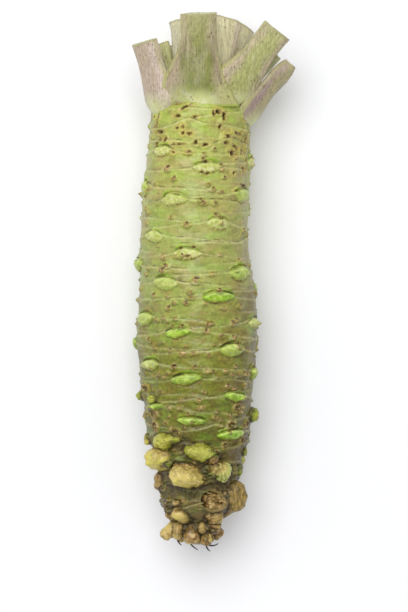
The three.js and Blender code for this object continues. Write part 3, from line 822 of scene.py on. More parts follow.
TABLE_STEP = 0.26
TABLE_COLUMNS = 440
TABLE_START = OUTLINE[0][0] + 0.02
TABLE_Y = np.arange(TABLE_START, CROWN_Y - 0.02, TABLE_STEP)[:, None]
TABLE_AT = np.arange(TABLE_COLUMNS) * 360 / TABLE_COLUMNS
MASKS = ("bud", "pale", "bud_highlight", "mint", "ledge", "halo", "crease_and_shade", "scar", "pit", "bruise_and_side_shade", "woody")
UPPER_SIDE = 90  # degrees: where the buds are placed one by one
BUD_ROWS = (42, 134)  # the other buds are between these places along the body
NODES = range(-24, 44)  # the leaves, from the crown to the root end, counted from BUD_ZERO
PIT_SIZE = 0.84  # what the sizes in PITS are multiplied by
THINNEST_Y = 9  # below here a mark keeps the size that it has here
ALL_ROWS = slice(None)
BIG_BUD = 1.2  # a bud that stands out further than this has a wider slit
BUD_SIZE = (4.7, 1.9)  # half the width and half the height of a bud that isn't in BUDS
BUD_SHIFT = 6  # how far a bud in BUDS can be from its leaf's place on the spiral
MIDDLE_RADIUS = 18  # the body's usual radius
SCARS_PER_LEAF = 8
SCAR_ROWS = (12, 141)  # the root scars that aren't in ROOT_SCARS are between these places


class Skin:
    """The relief and the masks of the rhizome's skin."""

    def __init__(self):
        self.plain = around(TABLE_AT, body_radius(TABLE_Y), TABLE_Y)
        shape = self.plain.shape[:2]
        self.relief = np.zeros(shape)
        self.mask = {name: np.zeros(shape) for name in MASKS}

    def near(self, at, y, reach):
        """The rows within reach of y, and how far each place is across and up from (at, y)."""
        found = np.flatnonzero(np.abs(TABLE_Y[:, 0] - y) < reach)
        rows = slice(found[0], found[-1] + 1)
        radius = body_radius(np.clip(y, THINNEST_Y, SHOULDER_Y))
        across = np.radians(turn_between(TABLE_AT, at)) * radius
        return rows, across, TABLE_Y[rows] - y

    def paint(self, name, rows, amount):
        table = self.mask[name]
        table[rows] = np.maximum(table[rows], amount)

    def add_ring(self, at, y, rng):
        """The scar of one leaf, which arches over its bud and fades away round the body.
        A highlight is painted along the ledge below its line.
        """
        rows, across, _ = self.near(at, y, 9)
        turn = np.abs(turn_between(TABLE_AT, at))
        angle = np.radians(TABLE_AT)
        phase = rng.uniform(0, 2 * np.pi, 6)
        wobble = sum(np.sin(angle * k + p) / k for k, p in zip((2, 3, 7, 13), phase))
        patchy = 0.5 + 0.5 * np.sin(angle * 4 + phase[4]) * np.sin(angle * 7 + phase[5])
        fade = 1 - smoothstep(turn, 70, 140)
        strength = fade * np.clip(0.35 + 0.65 * patchy + 0.5 * bell(turn, 24), 0, 1)
        line = y + 2 * bell(across, 4.6) - 1.6 * smoothstep(turn, 15, 120) + 0.6 * wobble
        up = TABLE_Y[rows] - line
        ledge = np.where(up < 0, np.exp(up / 1.5), bell(up, 0.2))
        fold = 1 + 1.3 * (1 - smoothstep(y, 20, 46))
        self.relief[rows] += fold * strength * (0.62 * ledge - 0.42 * bell(up, 0.3))
        broken = np.clip(np.sin(angle * 17 + phase[3]) + np.sin(angle * 29 + phase[2]) + 0.4, 0, 1)
        dark = strength * (0.2 + 0.7 * broken * rng.uniform(0.3, 1)) * bell(up - 0.05, 0.22)
        self.paint("crease_and_shade", rows, dark)
        # painted highlight on the raised ledge just below the line
        self.paint("ledge", rows, rng.uniform(0.35, 1) * strength * bell(up + 0.5, 0.35))

    def add_bud(self, at, y, half_width, half_height, out, pale, rng):
        """A dormant bud: a lens under a raised lid, with the ends of the leaf's veins below.
        A highlight is painted along its upper part.
        """
        rows, across, up = self.near(at, y, 3 * half_height + 2)
        up = up + across * rng.uniform(-0.1, 0.1)
        up = up + 0.18 * noise(self.plain[rows], 2.6, rng.randint(1000), 2)
        share = across / half_width
        skewed = share + rng.uniform(-0.22, 0.22) * (1 - share**2)
        lens = np.clip(1 - skewed**2, 0, 1) ** 0.7 * (np.abs(share) < 1)
        edge = half_height * lens + 0.02
        up_share = np.where(up > 0, up / edge, -up / (1.2 * edge))
        inside = np.clip(1 - up_share**2, 0, 1)
        dome = inside ** (0.5 + 0.5 * pale) * lens**0.6
        self.relief[rows] += out * dome
        fading = np.where(up > 0, 1, 1 - 0.6 * smoothstep(up_share, 0.25, 1))
        filled = smoothstep(dome, 0.05, 0.3 + 0.2 * pale) * fading
        self.paint("bud", rows, filled * (1 - 0.75 * pale))
        self.paint("pale", rows, filled * pale * (0.6 + 0.4 * bell(up, half_height * 0.7)))
        # a painted highlight along the bud's upper part, toward the lamp
        bud_highlight = bell(up_share - 0.55, 0.3) * smoothstep(up, 0, 0.3) * smoothstep(lens, 0.1, 0.6)
        self.paint("bud_highlight", rows, (0.75 - 0.3 * pale) * bud_highlight)
        self.add_lid(rows, across, up, edge, lens, out > BIG_BUD, pale, rng)
        self.add_veins(rows, across, up, half_width, half_height, pale, rng)

    def add_lid(self, rows, across, up, edge, lens, is_big, pale, rng):
        """The lid is a ridge on a bud's crown side, with a dark slit under it.
        Shade is painted in the slit, and a shadow along the bud's lower edge.
        """
        lid = bell(up - edge - 0.75, 0.5) * smoothstep(lens, 0.05, 0.5)
        self.relief[rows] += 0.5 * lid
        streaks = np.sin(across * rng.uniform(0.4, 0.8) + rng.uniform(0, 6.3))
        self.paint("bud", rows, lid * (0.4 + 0.4 * streaks))
        slit = bell(up - edge - 0.12, 0.2 + 0.16 * is_big) * smoothstep(lens, 0.12, 0.5)
        self.relief[rows] -= 0.4 * slit
        torn = np.sin(across * rng.uniform(0.3, 0.7) + rng.uniform(0, 6.3))
        open_share = rng.uniform(-0.5, 0.5) - 0.6 * pale
        # painted shade in the slit
        self.paint("crease_and_shade", rows, slit * np.clip(open_share + 1.3 * torn, 0, 1))
        below = bell(up + edge * 1.2 + 0.2, 0.3) * smoothstep(lens, 0.1, 0.6)
        self.relief[rows] -= 0.16 * below
        # painted shadow along the bud's lower edge
        self.paint("crease_and_shade", rows, (0.36 * is_big + 0.06) * below * np.clip(0.5 - torn, 0, 1))

    def add_veins(self, rows, across, up, half_width, half_height, pale, rng):
        """A row of dots along a bud's lower edge, and now and then a larger one below it."""
        veins = rng.randint(4, 8)
        for k in range(veins):
            dot_across = ((k + 0.5) / veins - 0.5) * 1.1 * half_width + rng.uniform(-0.2, 0.2)
            inset = 1 - (dot_across / half_width) ** 2
            down = half_height * inset * (0.75 if pale > 0.6 else 1.2) + rng.uniform(0.2, 0.6)
            self.add_dot(rows, across - dot_across, up + down, rng.uniform(0.24, 0.44), rng)
        if rng.rand() < 0.35:
            across = across - rng.uniform(-0.3, 0.3) * half_width
            self.add_dot(rows, across, up - half_height - 0.9, rng.uniform(0.5, 0.8), rng)

    def add_dot(self, rows, across, up, size, rng):
        """A spot of dead brown tissue with a raised, yellowish edge."""
        distance = np.hypot(across, up * 1.3)
        middle = bell(distance, size * 0.6)
        self.relief[rows] += 0.22 * bell(distance - size, size * 0.5) - 0.3 * middle
        self.paint("halo", rows, 0.55 * bell(distance, size * 1.6))
        self.paint("scar", rows, bell(distance, size))
        self.paint("pit", rows, rng.uniform(0.4, 1) * smoothstep(middle, 0.2, 0.7))

    def add_root_scar(self, at, y, size, out, brown, rng):
        """The pimple that a root leaves, with a brown tip and painted shade along its lower edge.
        """
        rows, across, up = self.near(at, y, 3.5 * size)
        ragged = 0.25 * noise(self.plain[rows], 0.9, rng.randint(1000))
        distance = np.hypot(across * rng.uniform(0.7, 1), up * rng.uniform(1, 1.35)) + ragged
        self.relief[rows] += 1.25 * out * np.exp(-(np.abs(distance / size) ** 1.8))
        self.paint("halo", rows, 0.6 * bell(distance, 1.35 * size))
        tip = np.hypot(across + rng.uniform(-0.2, 0.2), up - rng.uniform(-0.1, 0.3)) + ragged
        self.paint("scar", rows, (0.45 + 0.5 * brown) * smoothstep(bell(tip, 0.8 * size), 0.2, 0.6))
        if rng.rand() < 0.15 + 0.6 * brown:
            off = rng.uniform(-0.5, 0.5) * size
            hole = bell(np.hypot(across - off, 1.3 * (up - 0.6 * size)) + ragged, 0.4 * size)
            self.relief[rows] -= 0.35 * hole
            self.paint("pit", rows, (0.3 + 0.65 * brown) * smoothstep(hole, 0.2, 0.7))
        # painted shade along the pimple's lower edge, away from the lamp
        edge = bell(distance - 1.2 * size, 0.3)
        self.paint("crease_and_shade", rows, 0.55 * edge * smoothstep(-up, 0, size))

    def add_ring_scar(self, at, y, radius):
        """A round scar with a raised rim."""
        rows, across, up = self.near(at, y, 3 * radius)
        distance = np.hypot(across, up)
        rim = bell(distance - radius, 0.32 * radius)
        dip = bell(distance, 0.45 * radius)
        self.relief[rows] += 0.7 * rim - 0.5 * dip + 0.35 * bell(distance, radius)
        self.paint("scar", rows, 0.9 * smoothstep(rim, 0.3, 0.9))
        self.paint("halo", rows, 0.7 * bell(distance - 1.3 * radius, 0.4 * radius))
        self.paint("scar", rows, 0.7 * bell(distance, 0.5 * radius))
        self.paint("crease_and_shade", rows, 0.8 * bell(distance - 0.62 * radius, 0.16 * radius))
        self.paint("pit", rows, bell(distance, 0.2 * radius))

    def add_pit(self, at, y, half_width, half_height, slant, swollen):
        """A hole with a swollen, yellowish rim."""
        rows, across, up = self.near(at, y, 4 * max(half_width, half_height) + 1)
        tilt = np.radians(slant)
        u = across * np.cos(tilt) + up * np.sin(tilt)
        v = up * np.cos(tilt) - across * np.sin(tilt)
        share = np.hypot(u / half_width, v / half_height)
        share = share + 0.3 * noise(self.plain[rows], 0.8, SEED + 5, 2)
        away = (share - 1) * min(half_width, half_height)
        hole = 1 - smoothstep(share, 0.4, 1)
        self.relief[rows] += 0.36 * bell(away - 0.5, 0.4) - 0.8 * hole
        self.paint("pit", rows, hole)
        self.paint("halo", rows, swollen * (away > 0) * bell(away - 0.4, 0.6))
        self.paint("scar", rows, 0.8 * bell(away, 0.3))

    def at(self, table, at, y):
        """A table's values at any places round and along the body."""
        column = (at % 360) / 360 * TABLE_COLUMNS
        row = np.clip((y - TABLE_START) / TABLE_STEP, 0, len(TABLE_Y) - 1.001)
        i, j = row.astype(int), column.astype(int)
        s, t = row - i, column - j
        j, next_j = j % TABLE_COLUMNS, (j + 1) % TABLE_COLUMNS
        lower = lerp(table[i, j], table[i, next_j], t)
        upper = lerp(table[i + 1, j], table[i + 1, next_j], t)
        return lerp(lower, upper, s)


def node_place(n):
    """Where the bud of leaf n is, and whether it is one of BUDS."""
    at = turn_between(BUD_ZERO_AT + n * DIVERGENCE, 0)
    y = BUD_ZERO_Y - n * NODE_SPACING
    best, place = BUD_SHIFT, (at, y, False)
    for bud_x, bud_y, *_ in BUDS:
        bud_at = angle_above(bud_x, bud_y)
        away = np.hypot(np.radians(turn_between(at, bud_at)) * MIDDLE_RADIUS, y - bud_y)
        if away < best:
            best, place = away, (bud_at, bud_y, True)
    return place


def add_leaf_scars(skin, places, rng):
    """The rings, with a bud on each: placed one by one where the camera sees them."""
    for at, y, _ in places:
        skin.add_ring(at, y, rng)
    for at, y, placed in places:
        lower_side = abs(turn_between(at, 0)) > UPPER_SIDE
        if lower_side and not placed and BUD_ROWS[0] < y < BUD_ROWS[1]:
            scale = rng.uniform(0.8, 1.15)
            size = (half * scale for half in BUD_SIZE)
            pale = np.clip(smoothstep(y, 70, 125) + rng.uniform(-0.2, 0.2), 0, 1)
            skin.add_bud(at, y, *size, rng.uniform(0.8, 1.7), pale, rng)
    for x, y, *rest in BUDS:
        skin.add_bud(angle_above(x, y), y, *rest, rng)


def add_root_scars(skin, places, rng):
    """The root scars, with fewer random ones where others are placed one by one."""
    for _, node_y, _ in places:
        for _ in range(SCARS_PER_LEAF):
            at, y = rng.uniform(0, 360), node_y + rng.uniform(-1, 1)
            upper = abs(turn_between(at, 0)) < 75
            chance = lerp(0.8, 0.22, smoothstep(y, 60, 105)) if upper else 0.7
            if rng.rand() < chance and SCAR_ROWS[0] < y < SCAR_ROWS[1]:
                size, brown = rng.uniform(0.45, 1.15), rng.uniform(0.3, 1)
                skin.add_root_scar(at, y, size, rng.uniform(0.4, 0.9), brown, rng)
    for x, y, size, out, brown in ROOT_SCARS:
        skin.add_root_scar(angle_above(x, y), y, size, out, brown, rng)
    for x, y, radius in RING_SCARS:
        skin.add_ring_scar(angle_above(x, y), y, radius)
    for _ in range(12):
        skin.add_ring_scar(rng.uniform(95, 265), rng.uniform(30, 70), rng.uniform(1, 1.7))


def add_pits(skin, rng):
    """The pits near the crown, with tiny ones among them and larger ones on the lower side."""
    for x, y, half_width, half_height, slant, swollen in PITS:
        size = (PIT_SIZE * half for half in (half_width, half_height))
        skin.add_pit(angle_above(x, y), y, *size, slant, swollen)
    for k in range(30):
        tiny = k % 3 == 0
        size = rng.uniform(0.2, 0.4) if tiny else rng.uniform(0.5, 1.3)
        shape = (size, size * rng.uniform(0.35, 0.9), rng.uniform(-30, 30), rng.uniform(0.2, 0.8))
        at = rng.uniform(-85, 85) if tiny else rng.uniform(85, 275)
        skin.add_pit(at, rng.uniform(118, 145), *shape)


def stripe(at, width):
    """A soft stripe along the body: its middle and its width in degrees."""
    return bell(turn_between(TABLE_AT, at), width)


def paint_bruises_and_side_shade(skin, cloud):
    """Brownish bruised spots at the crown, painted shade down the sides, most of all the right one,
    and a lighter green stripe along the middle of the top.
    """
    y, plain = TABLE_Y, skin.plain
    from_top = np.abs(turn_between(TABLE_AT, 0))
    flank = 0.5 * smoothstep(from_top, 35, 75) * (1 - smoothstep(from_top, 100, 150))
    patchy = smoothstep(noise(plain, (14, 7, 14), SEED + 7, 2), -0.6, 0.5)
    bruises_and_side_shade = (
        1.4 * stripe(57, 17) * bell(y - 125, 7),
        # painted shade down the right side, away from the lamp
        1.15 * stripe(80, 38) * (1 - smoothstep(y, 78, 125)),
        # painted shade down both sides
        flank * smoothstep(y, 40, 70) * patchy,
        (0.8 * stripe(64, 22) + 0.6 * stripe(-66, 16)) * bell(y - 134, 6),
    )
    for darkening in bruises_and_side_shade:
        skin.paint("bruise_and_side_shade", ALL_ROWS, np.clip(darkening * (0.85 + 0.6 * cloud), 0, 0.9))
    soft = smoothstep(noise(plain, (9, 6, 9), SEED + 12, 2), -0.5, 0.4)
    skin.paint("mint", ALL_ROWS, 0.25 * stripe(4, 15) * smoothstep(y, 92, 112) * soft)


def roughen_root_end(skin, cloud):
    """Bark at the root end, with smooth tissue flowing down the neck to the stubs.
    The bark's low places are darker: its own dark fissures, with painted shade in them.
    """
    y, plain = TABLE_Y, skin.plain
    rough = noise(plain, (3, 1.6, 3), SEED + 3, 3)
    neck = stripe(-2, 30) * bell(y - 13, 6)
    woody = (1 - smoothstep(y + 4 * noise(plain, 9, SEED + 2, 2), 14, 31)) * (1 - 0.85 * neck)
    right = 0.75 * stripe(70, 34) * (1 - smoothstep(y, 30, 52)) * smoothstep(cloud, -0.4, 0.5)
    left = stripe(-50, 20) * bell(y - 26, 3.4)
    woody = np.maximum(woody, np.maximum(left, right))
    rooty = (1 - smoothstep(y, 24, 48)) * (1 - 0.6 * neck)
    skin.relief += 0.55 * rooty * noise(plain, (6, 4, 6), SEED + 8, 2) + 0.34 * woody * rough
    streams = np.sin(np.radians(TABLE_AT) * 17 + 1.4 * noise(plain, (3, 5, 3), SEED + 10))
    skin.relief += 0.2 * neck * streams
    skin.paint("woody", ALL_ROWS, 0.85 * woody)
    # the bark's dark fissures, partly painted shade in its low places
    skin.paint("crease_and_shade", ALL_ROWS, 0.6 * woody * smoothstep(-rough, 0.35, 0.9))


def fold_brow(skin):
    """Skin folds over the hollow like a brow, with painted shade in its troughs."""
    at, y = HOLLOW[:2]
    across = np.radians(turn_between(TABLE_AT, at)) * body_radius(TABLE_Y)
    from_hollow = np.hypot(across, TABLE_Y - y)
    brow = bell(from_hollow - 7, 2.6) * smoothstep(TABLE_Y - y, -3, 2)
    fold = np.sin(from_hollow * 3.4 + noise(skin.plain, 5, SEED + 9))
    skin.relief += 0.34 * brow * fold
    # painted shade in the troughs of the folds
    skin.paint("crease_and_shade", ALL_ROWS, 0.7 * brow * smoothstep(-fold, 0.4, 1))


def make_skin():
    skin = Skin()
    rng = np.random.RandomState(SEED)
    plain = skin.plain
    skin.relief += 0.5 * noise(plain, 17, SEED) + 0.28 * noise(plain, 6, SEED + 1)
    skin.relief += 0.06 * noise(plain, (2.6, 1.4, 2.6), SEED + 4, 2)
    places = [node_place(n) for n in NODES]
    add_leaf_scars(skin, places, rng)
    add_root_scars(skin, places, rng)
    add_pits(skin, rng)
    cloud = noise(plain, (7, 3.5, 7), SEED + 6, 3)
    paint_bruises_and_side_shade(skin, cloud)
    roughen_root_end(skin, cloud)
    fold_brow(skin)
    return skin


# ---- The rhizome's upper part: the skin's tables as a mesh ----

SEAM_Y = 52  # here the upper part gives way to the root end, and each dips under the other
SEAM_DIP = 0.6  # how deep each dips
SEAM_START, SEAM_END = 0.5, 3  # how far past the seam it starts to dip, and is down
ROOT_END_MASKS = ("knob", "ripe", "rough", "painted_shade", "painted_highlight", "fan", "ribs")


def make_body(skin, material):
    y = TABLE_Y
    radius = body_radius(y)
    settled = smoothstep(radius, 1, 6)
    dip = SEAM_DIP * (1 - smoothstep(y, SEAM_Y - SEAM_END, SEAM_Y - SEAM_START))
    surface = around(TABLE_AT, radius + skin.relief * settled - dip, y)
    keep_above_floor(surface)
    round_axis = np.roll(surface, -1, 1) - np.roll(surface, 1, 1)
    normals = unit(np.cross(round_axis, np.gradient(surface, axis=0)))
    tables = {"along": (y / SHOULDER_Y) * np.ones(TABLE_COLUMNS), **skin.mask}
    low = int((SEAM_Y - SEAM_END - TABLE_START) / TABLE_STEP)
    middle = (low + len(y)) // 2
    for name, first, last in (("middle", low, middle), ("crown", middle, len(y) - 1)):
        rows = slice(first, last + 1)
        vertices = np.vstack([surface[rows].reshape(-1, 3), surface[[first, last]].mean(1)])
        faces = tube_faces(last + 1 - first, TABLE_COLUMNS)
        masks = {key: np.zeros(len(vertices)) for key in ROOT_END_MASKS}
        for key, table in tables.items():
            masks[key] = np.append(np.clip(table[rows], 0, 1), [0, 0])
        piece_normals = np.vstack([normals[rows].reshape(-1, 3), [[0, -1, 0], [0, 1, 0]]])
        add_piece(
            "rhizome_" + name, vertices, faces, masks, material, "rhizome_skin", "rhizome",
            normals=piece_normals,
        )


# ---- The root end: the body, its knobs and its stubs as one surface ----

NET_STEP = 0.34
NET_LOW = (-22, -1.6, -20.4)
NET_HIGH = (21, SEAM_Y + 3.6, 24)
NET_END = SEAM_Y + 2.8  # where the surface is closed off, under the upper part
EMBEDDED = 1.2  # how deep inside the body a knob starts
GROOVE = 0.272  # how deep the groove is where a knob or a stub meets what it grows on
CORE_RIPE = 1.6  # how ripe the hollow's torn core is
RIM_RIPE = 1.45  # and the hollow's rim
HOLLOW_REACH = 8.95  # how far the hollow's rim can be from the middle of the hollow
FAR_GAP = 9  # how far the next lump is from a place that has none near

# What root_end_distance says of a point: how much of it is a lump's, how ripe and how far up
# that lump is there, how much painted shadow it gets from lying under one and how far the next one
# is, the fan, its ribs and its torn part, and the hollow, its torn core, its rim and its dark side,
# which gets painted shade.
DETAILS = (
    "owner", "ripe", "high", "under", "gap", "fan", "ribs", "torn", "hollow", "core", "rim", "deep",
)


def round_cone(points, end, start_radius, end_radius):
    """How far points are outside a cone from the origin to end, which has round ends."""
    length2 = end @ end
    narrowing = start_radius - end_radius
    slant2 = max(length2 - narrowing * narrowing, 1e-6)
    y = points @ end
    z = y - length2
    x2 = ((points * length2 - y[:, None] * end) ** 2).sum(1)
    y2, z2 = y * y * length2, z * z * length2
    limit = np.sign(narrowing) * narrowing * narrowing * x2
    past_end = np.sign(z) * slant2 * z2 > limit
    before_start = np.sign(y) * slant2 * y2 < limit
    from_end = np.sqrt(x2 + z2) / length2 - end_radius
    from_start = np.sqrt(x2 + y2) / length2 - start_radius
    from_wall = (np.sqrt(x2 * slant2 / length2) + y * narrowing) / length2 - start_radius
    return np.where(past_end, from_end, np.where(before_start, from_start, from_wall))


def smooth_max(a, b, soft):
    """The greater of two distances, with the corner between them rounded."""
    h = np.clip(0.5 + 0.5 * (a - b) / soft, 0, 1)
    return lerp(b, a, h) + soft * h * (1 - h)


def smooth_min(a, b, soft):
    return -smooth_max(-a, -b, soft)


def cone_shape(end, radii, squash, flat):
    """A knob's or a stub's shape: a round cone, squashed, with its end cut more or less flat."""
    scale = np.array([1, 1 / squash, 1])
    end = np.asarray(end) * scale
    toward = unit(end)

    def shape(p):
        p = p * scale
        d = round_cone(p, end, *radii)
        if flat:
            d = smooth_max(d, (p - end) @ toward - radii[1] * (1 - flat * 0.75), 0.9)
        return d * min(1, squash)

    return shape


def block_shape(corners, out, slope):
    """A block on a polygon: its sides lean in toward its sloping end."""
    soft, lean = 2, 0.34
    steepness = np.sqrt(1 + slope[0] ** 2 + slope[1] ** 2)

    def shape(p):
        d = (p[:, 2] - out - p[:, :2] @ np.array(slope)) / steepness
        for here, after in zip(corners, corners[1:] + corners[:1]):
            edge = np.subtract(after, here)
            normal = np.array([edge[1], -edge[0], 0]) / np.hypot(*edge) + (0, 0, lean)
            start = np.array([*here, 0.4 * out])
            d = smooth_max(d, (p - start) @ normal / np.sqrt(1 + lean * lean), soft)
        return d - 0.25 * soft

    return shape


class Lump:
    """A knob or a stub: a shape in axes of its own (sideways, up, out)."""

    def __init__(
        self, origin, axes, shape, middle, reach, half_height, ripe, blend, seed, fan=False
    ):
        self.origin = np.asarray(origin)
        self.axes = np.array(axes)
        self.shape = shape
        self.middle = middle
        self.reach = reach
        self.half_height = half_height
        self.ripe = ripe
        self.blend = blend
        self.seed = seed
        self.fan = fan

    def distance(self, points):
        """How far points are outside it, and how far up they are as a share of its height."""
        p = (points - self.origin) @ self.axes.T
        lumpy = 0.34 * noise(p, (2.8, 2.8, 4.5), self.seed, 2)
        lumpy = lumpy + (0.2 if self.ripe < 0.6 else 0.1) * noise(p, 0.9, self.seed + 3)
        if self.fan:
            spread, ribs = self.fanned(points)
            lumpy = lumpy - spread * (FAN_RELIEF * ribs - 0.1)
            lumpy = lumpy + 0.4 * (1 - spread) * np.abs(noise(p, 1.3, 3))
        return self.shape(p) + lumpy, p[:, 1] / self.half_height

    def fanned(self, points):
        """How much of the fan is at each point, and how high its ribs are there."""
        p = (points - self.origin) @ self.axes.T
        across, down = p[:, 0] - FAN_ROOT[0], FAN_ROOT[1] - p[:, 1]
        wavy = np.arctan2(across, down) * FAN_RIBS + 2 * noise(p, 1.6, self.seed + 5)
        ragged = np.hypot(across, down) + 0.6 * noise(p, 1.2, self.seed + 6)
        return smoothstep(ragged, *FAN_START), 0.5 + 0.5 * np.sin(wavy)


def block_lump(index, at, y, out, slope, ripe, corners):
    place, axes = skin_place(at, y)
    reach = np.hypot(np.abs(corners).max(), out) + 3
    half_height = max(up for _, up in corners)
    shape = block_shape(corners, out, slope)
    seed = SEED + 50 + index
    return Lump(place, axes, shape, place, reach, half_height, ripe, 0.9, seed, index == FAN)


def knob_lump(index, at, y, lean, out, radii, squash, flat, ripe):
    place, axes = skin_place(at, y)
    origin = place - EMBEDDED * axes[2]
    end = (*lean, max(out - radii[1] + EMBEDDED, 0.4))
    shape = cone_shape(end, radii, squash, flat)
    middle = origin + np.array(end) @ axes / 2
    reach = np.linalg.norm(end) / 2 + max(radii) * max(1, squash) + 2
    half_height = radii[1] * squash
    return Lump(origin, axes, shape, middle, reach, half_height, ripe, 1.1, SEED + 20 + index)


def stub_lump(index, start, end, radii, ripe):
    length = np.linalg.norm(np.subtract(end, start))
    along = unit(np.subtract(end, start))
    sideways = unit(np.cross(along, (0.1, 0, 1)))
    axes = (sideways, np.cross(along, sideways), along)
    shape = cone_shape((0, 0, length), radii, 1, 0.25)
    reach = length / 2 + max(radii) + 2
    middle = np.add(start, end) / 2
    return Lump(start, axes, shape, middle, reach, radii[1], ripe, 0.4, SEED + 80 + index)


def make_lumps():
    kinds = ((block_lump, BLOCKS), (knob_lump, KNOBS), (stub_lump, STUBS))
    return [make(index, *row) for make, rows in kinds for index, row in enumerate(rows)]


def body_distance(out, at, y, skin):
    """How far places are outside the body, whose end is rounded off."""
    start_y = OUTLINE[1][0]
    inner_y = np.clip(y, start_y, None)
    radius = body_radius(inner_y)
    slope = (body_radius(inner_y + 0.1) - radius) / 0.1
    dip = SEAM_DIP * smoothstep(y, SEAM_Y + SEAM_START, SEAM_Y + SEAM_END)
    body = (out - radius - skin.at(skin.relief, at, y) + dip) / np.sqrt(1 + slope * slope)
    return smooth_max(body, start_y - y, 1.5)


def dig_hollow(points, body, details):
    """Digs the hollow into the body, and gives the distances with its torn core added."""
    at, y, rim, core = HOLLOW
    place, axes = skin_place(at, y)
    near = np.flatnonzero(((points - place) ** 2).sum(1) < HOLLOW_REACH**2)
    p = (points[near] - place) @ axes.T
    ragged = noise(points[near], (2.4, 1.6, 2.4), SEED + 15, 3)
    slanted = p[:, 0] * 0.86 - p[:, 1] * 0.5, p[:, 0] * 0.5 + p[:, 1] * 0.86
    from_axis = np.hypot(0.94 * slanted[0], 1.2 * slanted[1])
    from_axis = from_axis + 0.5 * noise(points[near], 3, SEED + 14)
    # the rim is thicker at its right
    right = 0.5 + 0.5 * p[:, 0] / (from_axis + 0.1)
    thick = lerp(0.2, 1.2, right)
    ring = np.hypot(from_axis - rim - 0.4 * thick, p[:, 2] - 0.7 * right) - thick
    away = np.hypot(from_axis, 0.8 * (p[:, 2] + 0.4))
    walled = np.maximum(smooth_min(body[near], ring, 1.2), rim - away - 0.2 * ragged)
    inner = np.hypot(np.hypot(p[:, 0] - 1.1, p[:, 1] + 0.2), p[:, 2] + 1.3) - core
    inner = inner + 1.3 * ragged
    body[near] = walled
    total = body.copy()
    total[near] = np.minimum(walled, inner)
    if details is not None:
        inside = 1 - smoothstep(away, rim * 0.9, rim * 1.08)
        details["hollow"][near] = inside * (inner > 0.05)
        details["core"][near] = 1 - smoothstep(inner - walled, -0.1, 0.2)
        on_ring = 1 - smoothstep(np.abs(ring - walled), 0.1, 0.5)
        details["rim"][near] = on_ring * right * (ring < 0.4)
        # the hollow's deeper left side, which gets painted shade
        details["deep"][near] = 1 - smoothstep(p[:, 0] + 0.8 * p[:, 2], -2.4, 0.6)
    return total


def add_details(details, lump, points, near, before, d, up):
    """Adds one lump to the details: d is how far outside it the points near it are."""
    mine = smoothstep(before - d, -0.15, 0.25)
    width = min(1.8, 0.5 * lump.half_height)
    # painted shadow on the skin just below the lump, toward the root end
    shaded = bell(np.maximum(d, 0), width) * smoothstep(-up, 0.1, 0.9)
    old = {name: values[near] for name, values in details.items()}
    details["owner"][near] = np.maximum(old["owner"] * (1 - mine), mine)
    details["ripe"][near] = lerp(old["ripe"], lump.ripe, mine)
    details["high"][near] = lerp(old["high"], up, mine)
    details["under"][near] = np.maximum(old["under"] * (1 - mine), shaded * (1 - mine))
    details["gap"][near] = np.minimum(old["gap"] + 3 * mine, np.abs(before - d))
    details["fan"][near] = old["fan"] * (1 - mine)
    if lump.fan:
        spread, ribs = lump.fanned(points[near])
        details["fan"][near] = mine * spread
        details["ribs"][near] = ribs
        details["torn"][near] = mine * (1 - spread)


def root_end_distance(points, skin, lumps, details=None):
    """How far points are outside the root end. details, a dictionary, gets what is where."""
    y = points[:, 1]
    x = points[:, 0] - axis_x(y)
    z = points[:, 2]
    at = np.degrees(np.arctan2(x, z))
    if details is not None:
        details.update({name: np.zeros(len(points)) for name in DETAILS})
        details["gap"] += FAR_GAP
    body = body_distance(np.hypot(x, z), at, y, skin)
    total = dig_hollow(points, body, details)
    for lump in lumps:
        near = np.flatnonzero(((points - lump.middle) ** 2).sum(1) < lump.reach**2)
        if not len(near):
            continue
        d, up = lump.distance(points[near])
        before = total[near]
        total[near] = smooth_min(d, before, lump.blend) + GROOVE * bell(d - before, 0.3)
        if details is not None:
            add_details(details, lump, points, near, before, d, up)
    if details is not None:
        details.update(at=at, y=y, above=body)
    total = np.maximum(total, -AXIS_HEIGHT - z)
    return np.maximum(total, y - NET_END)


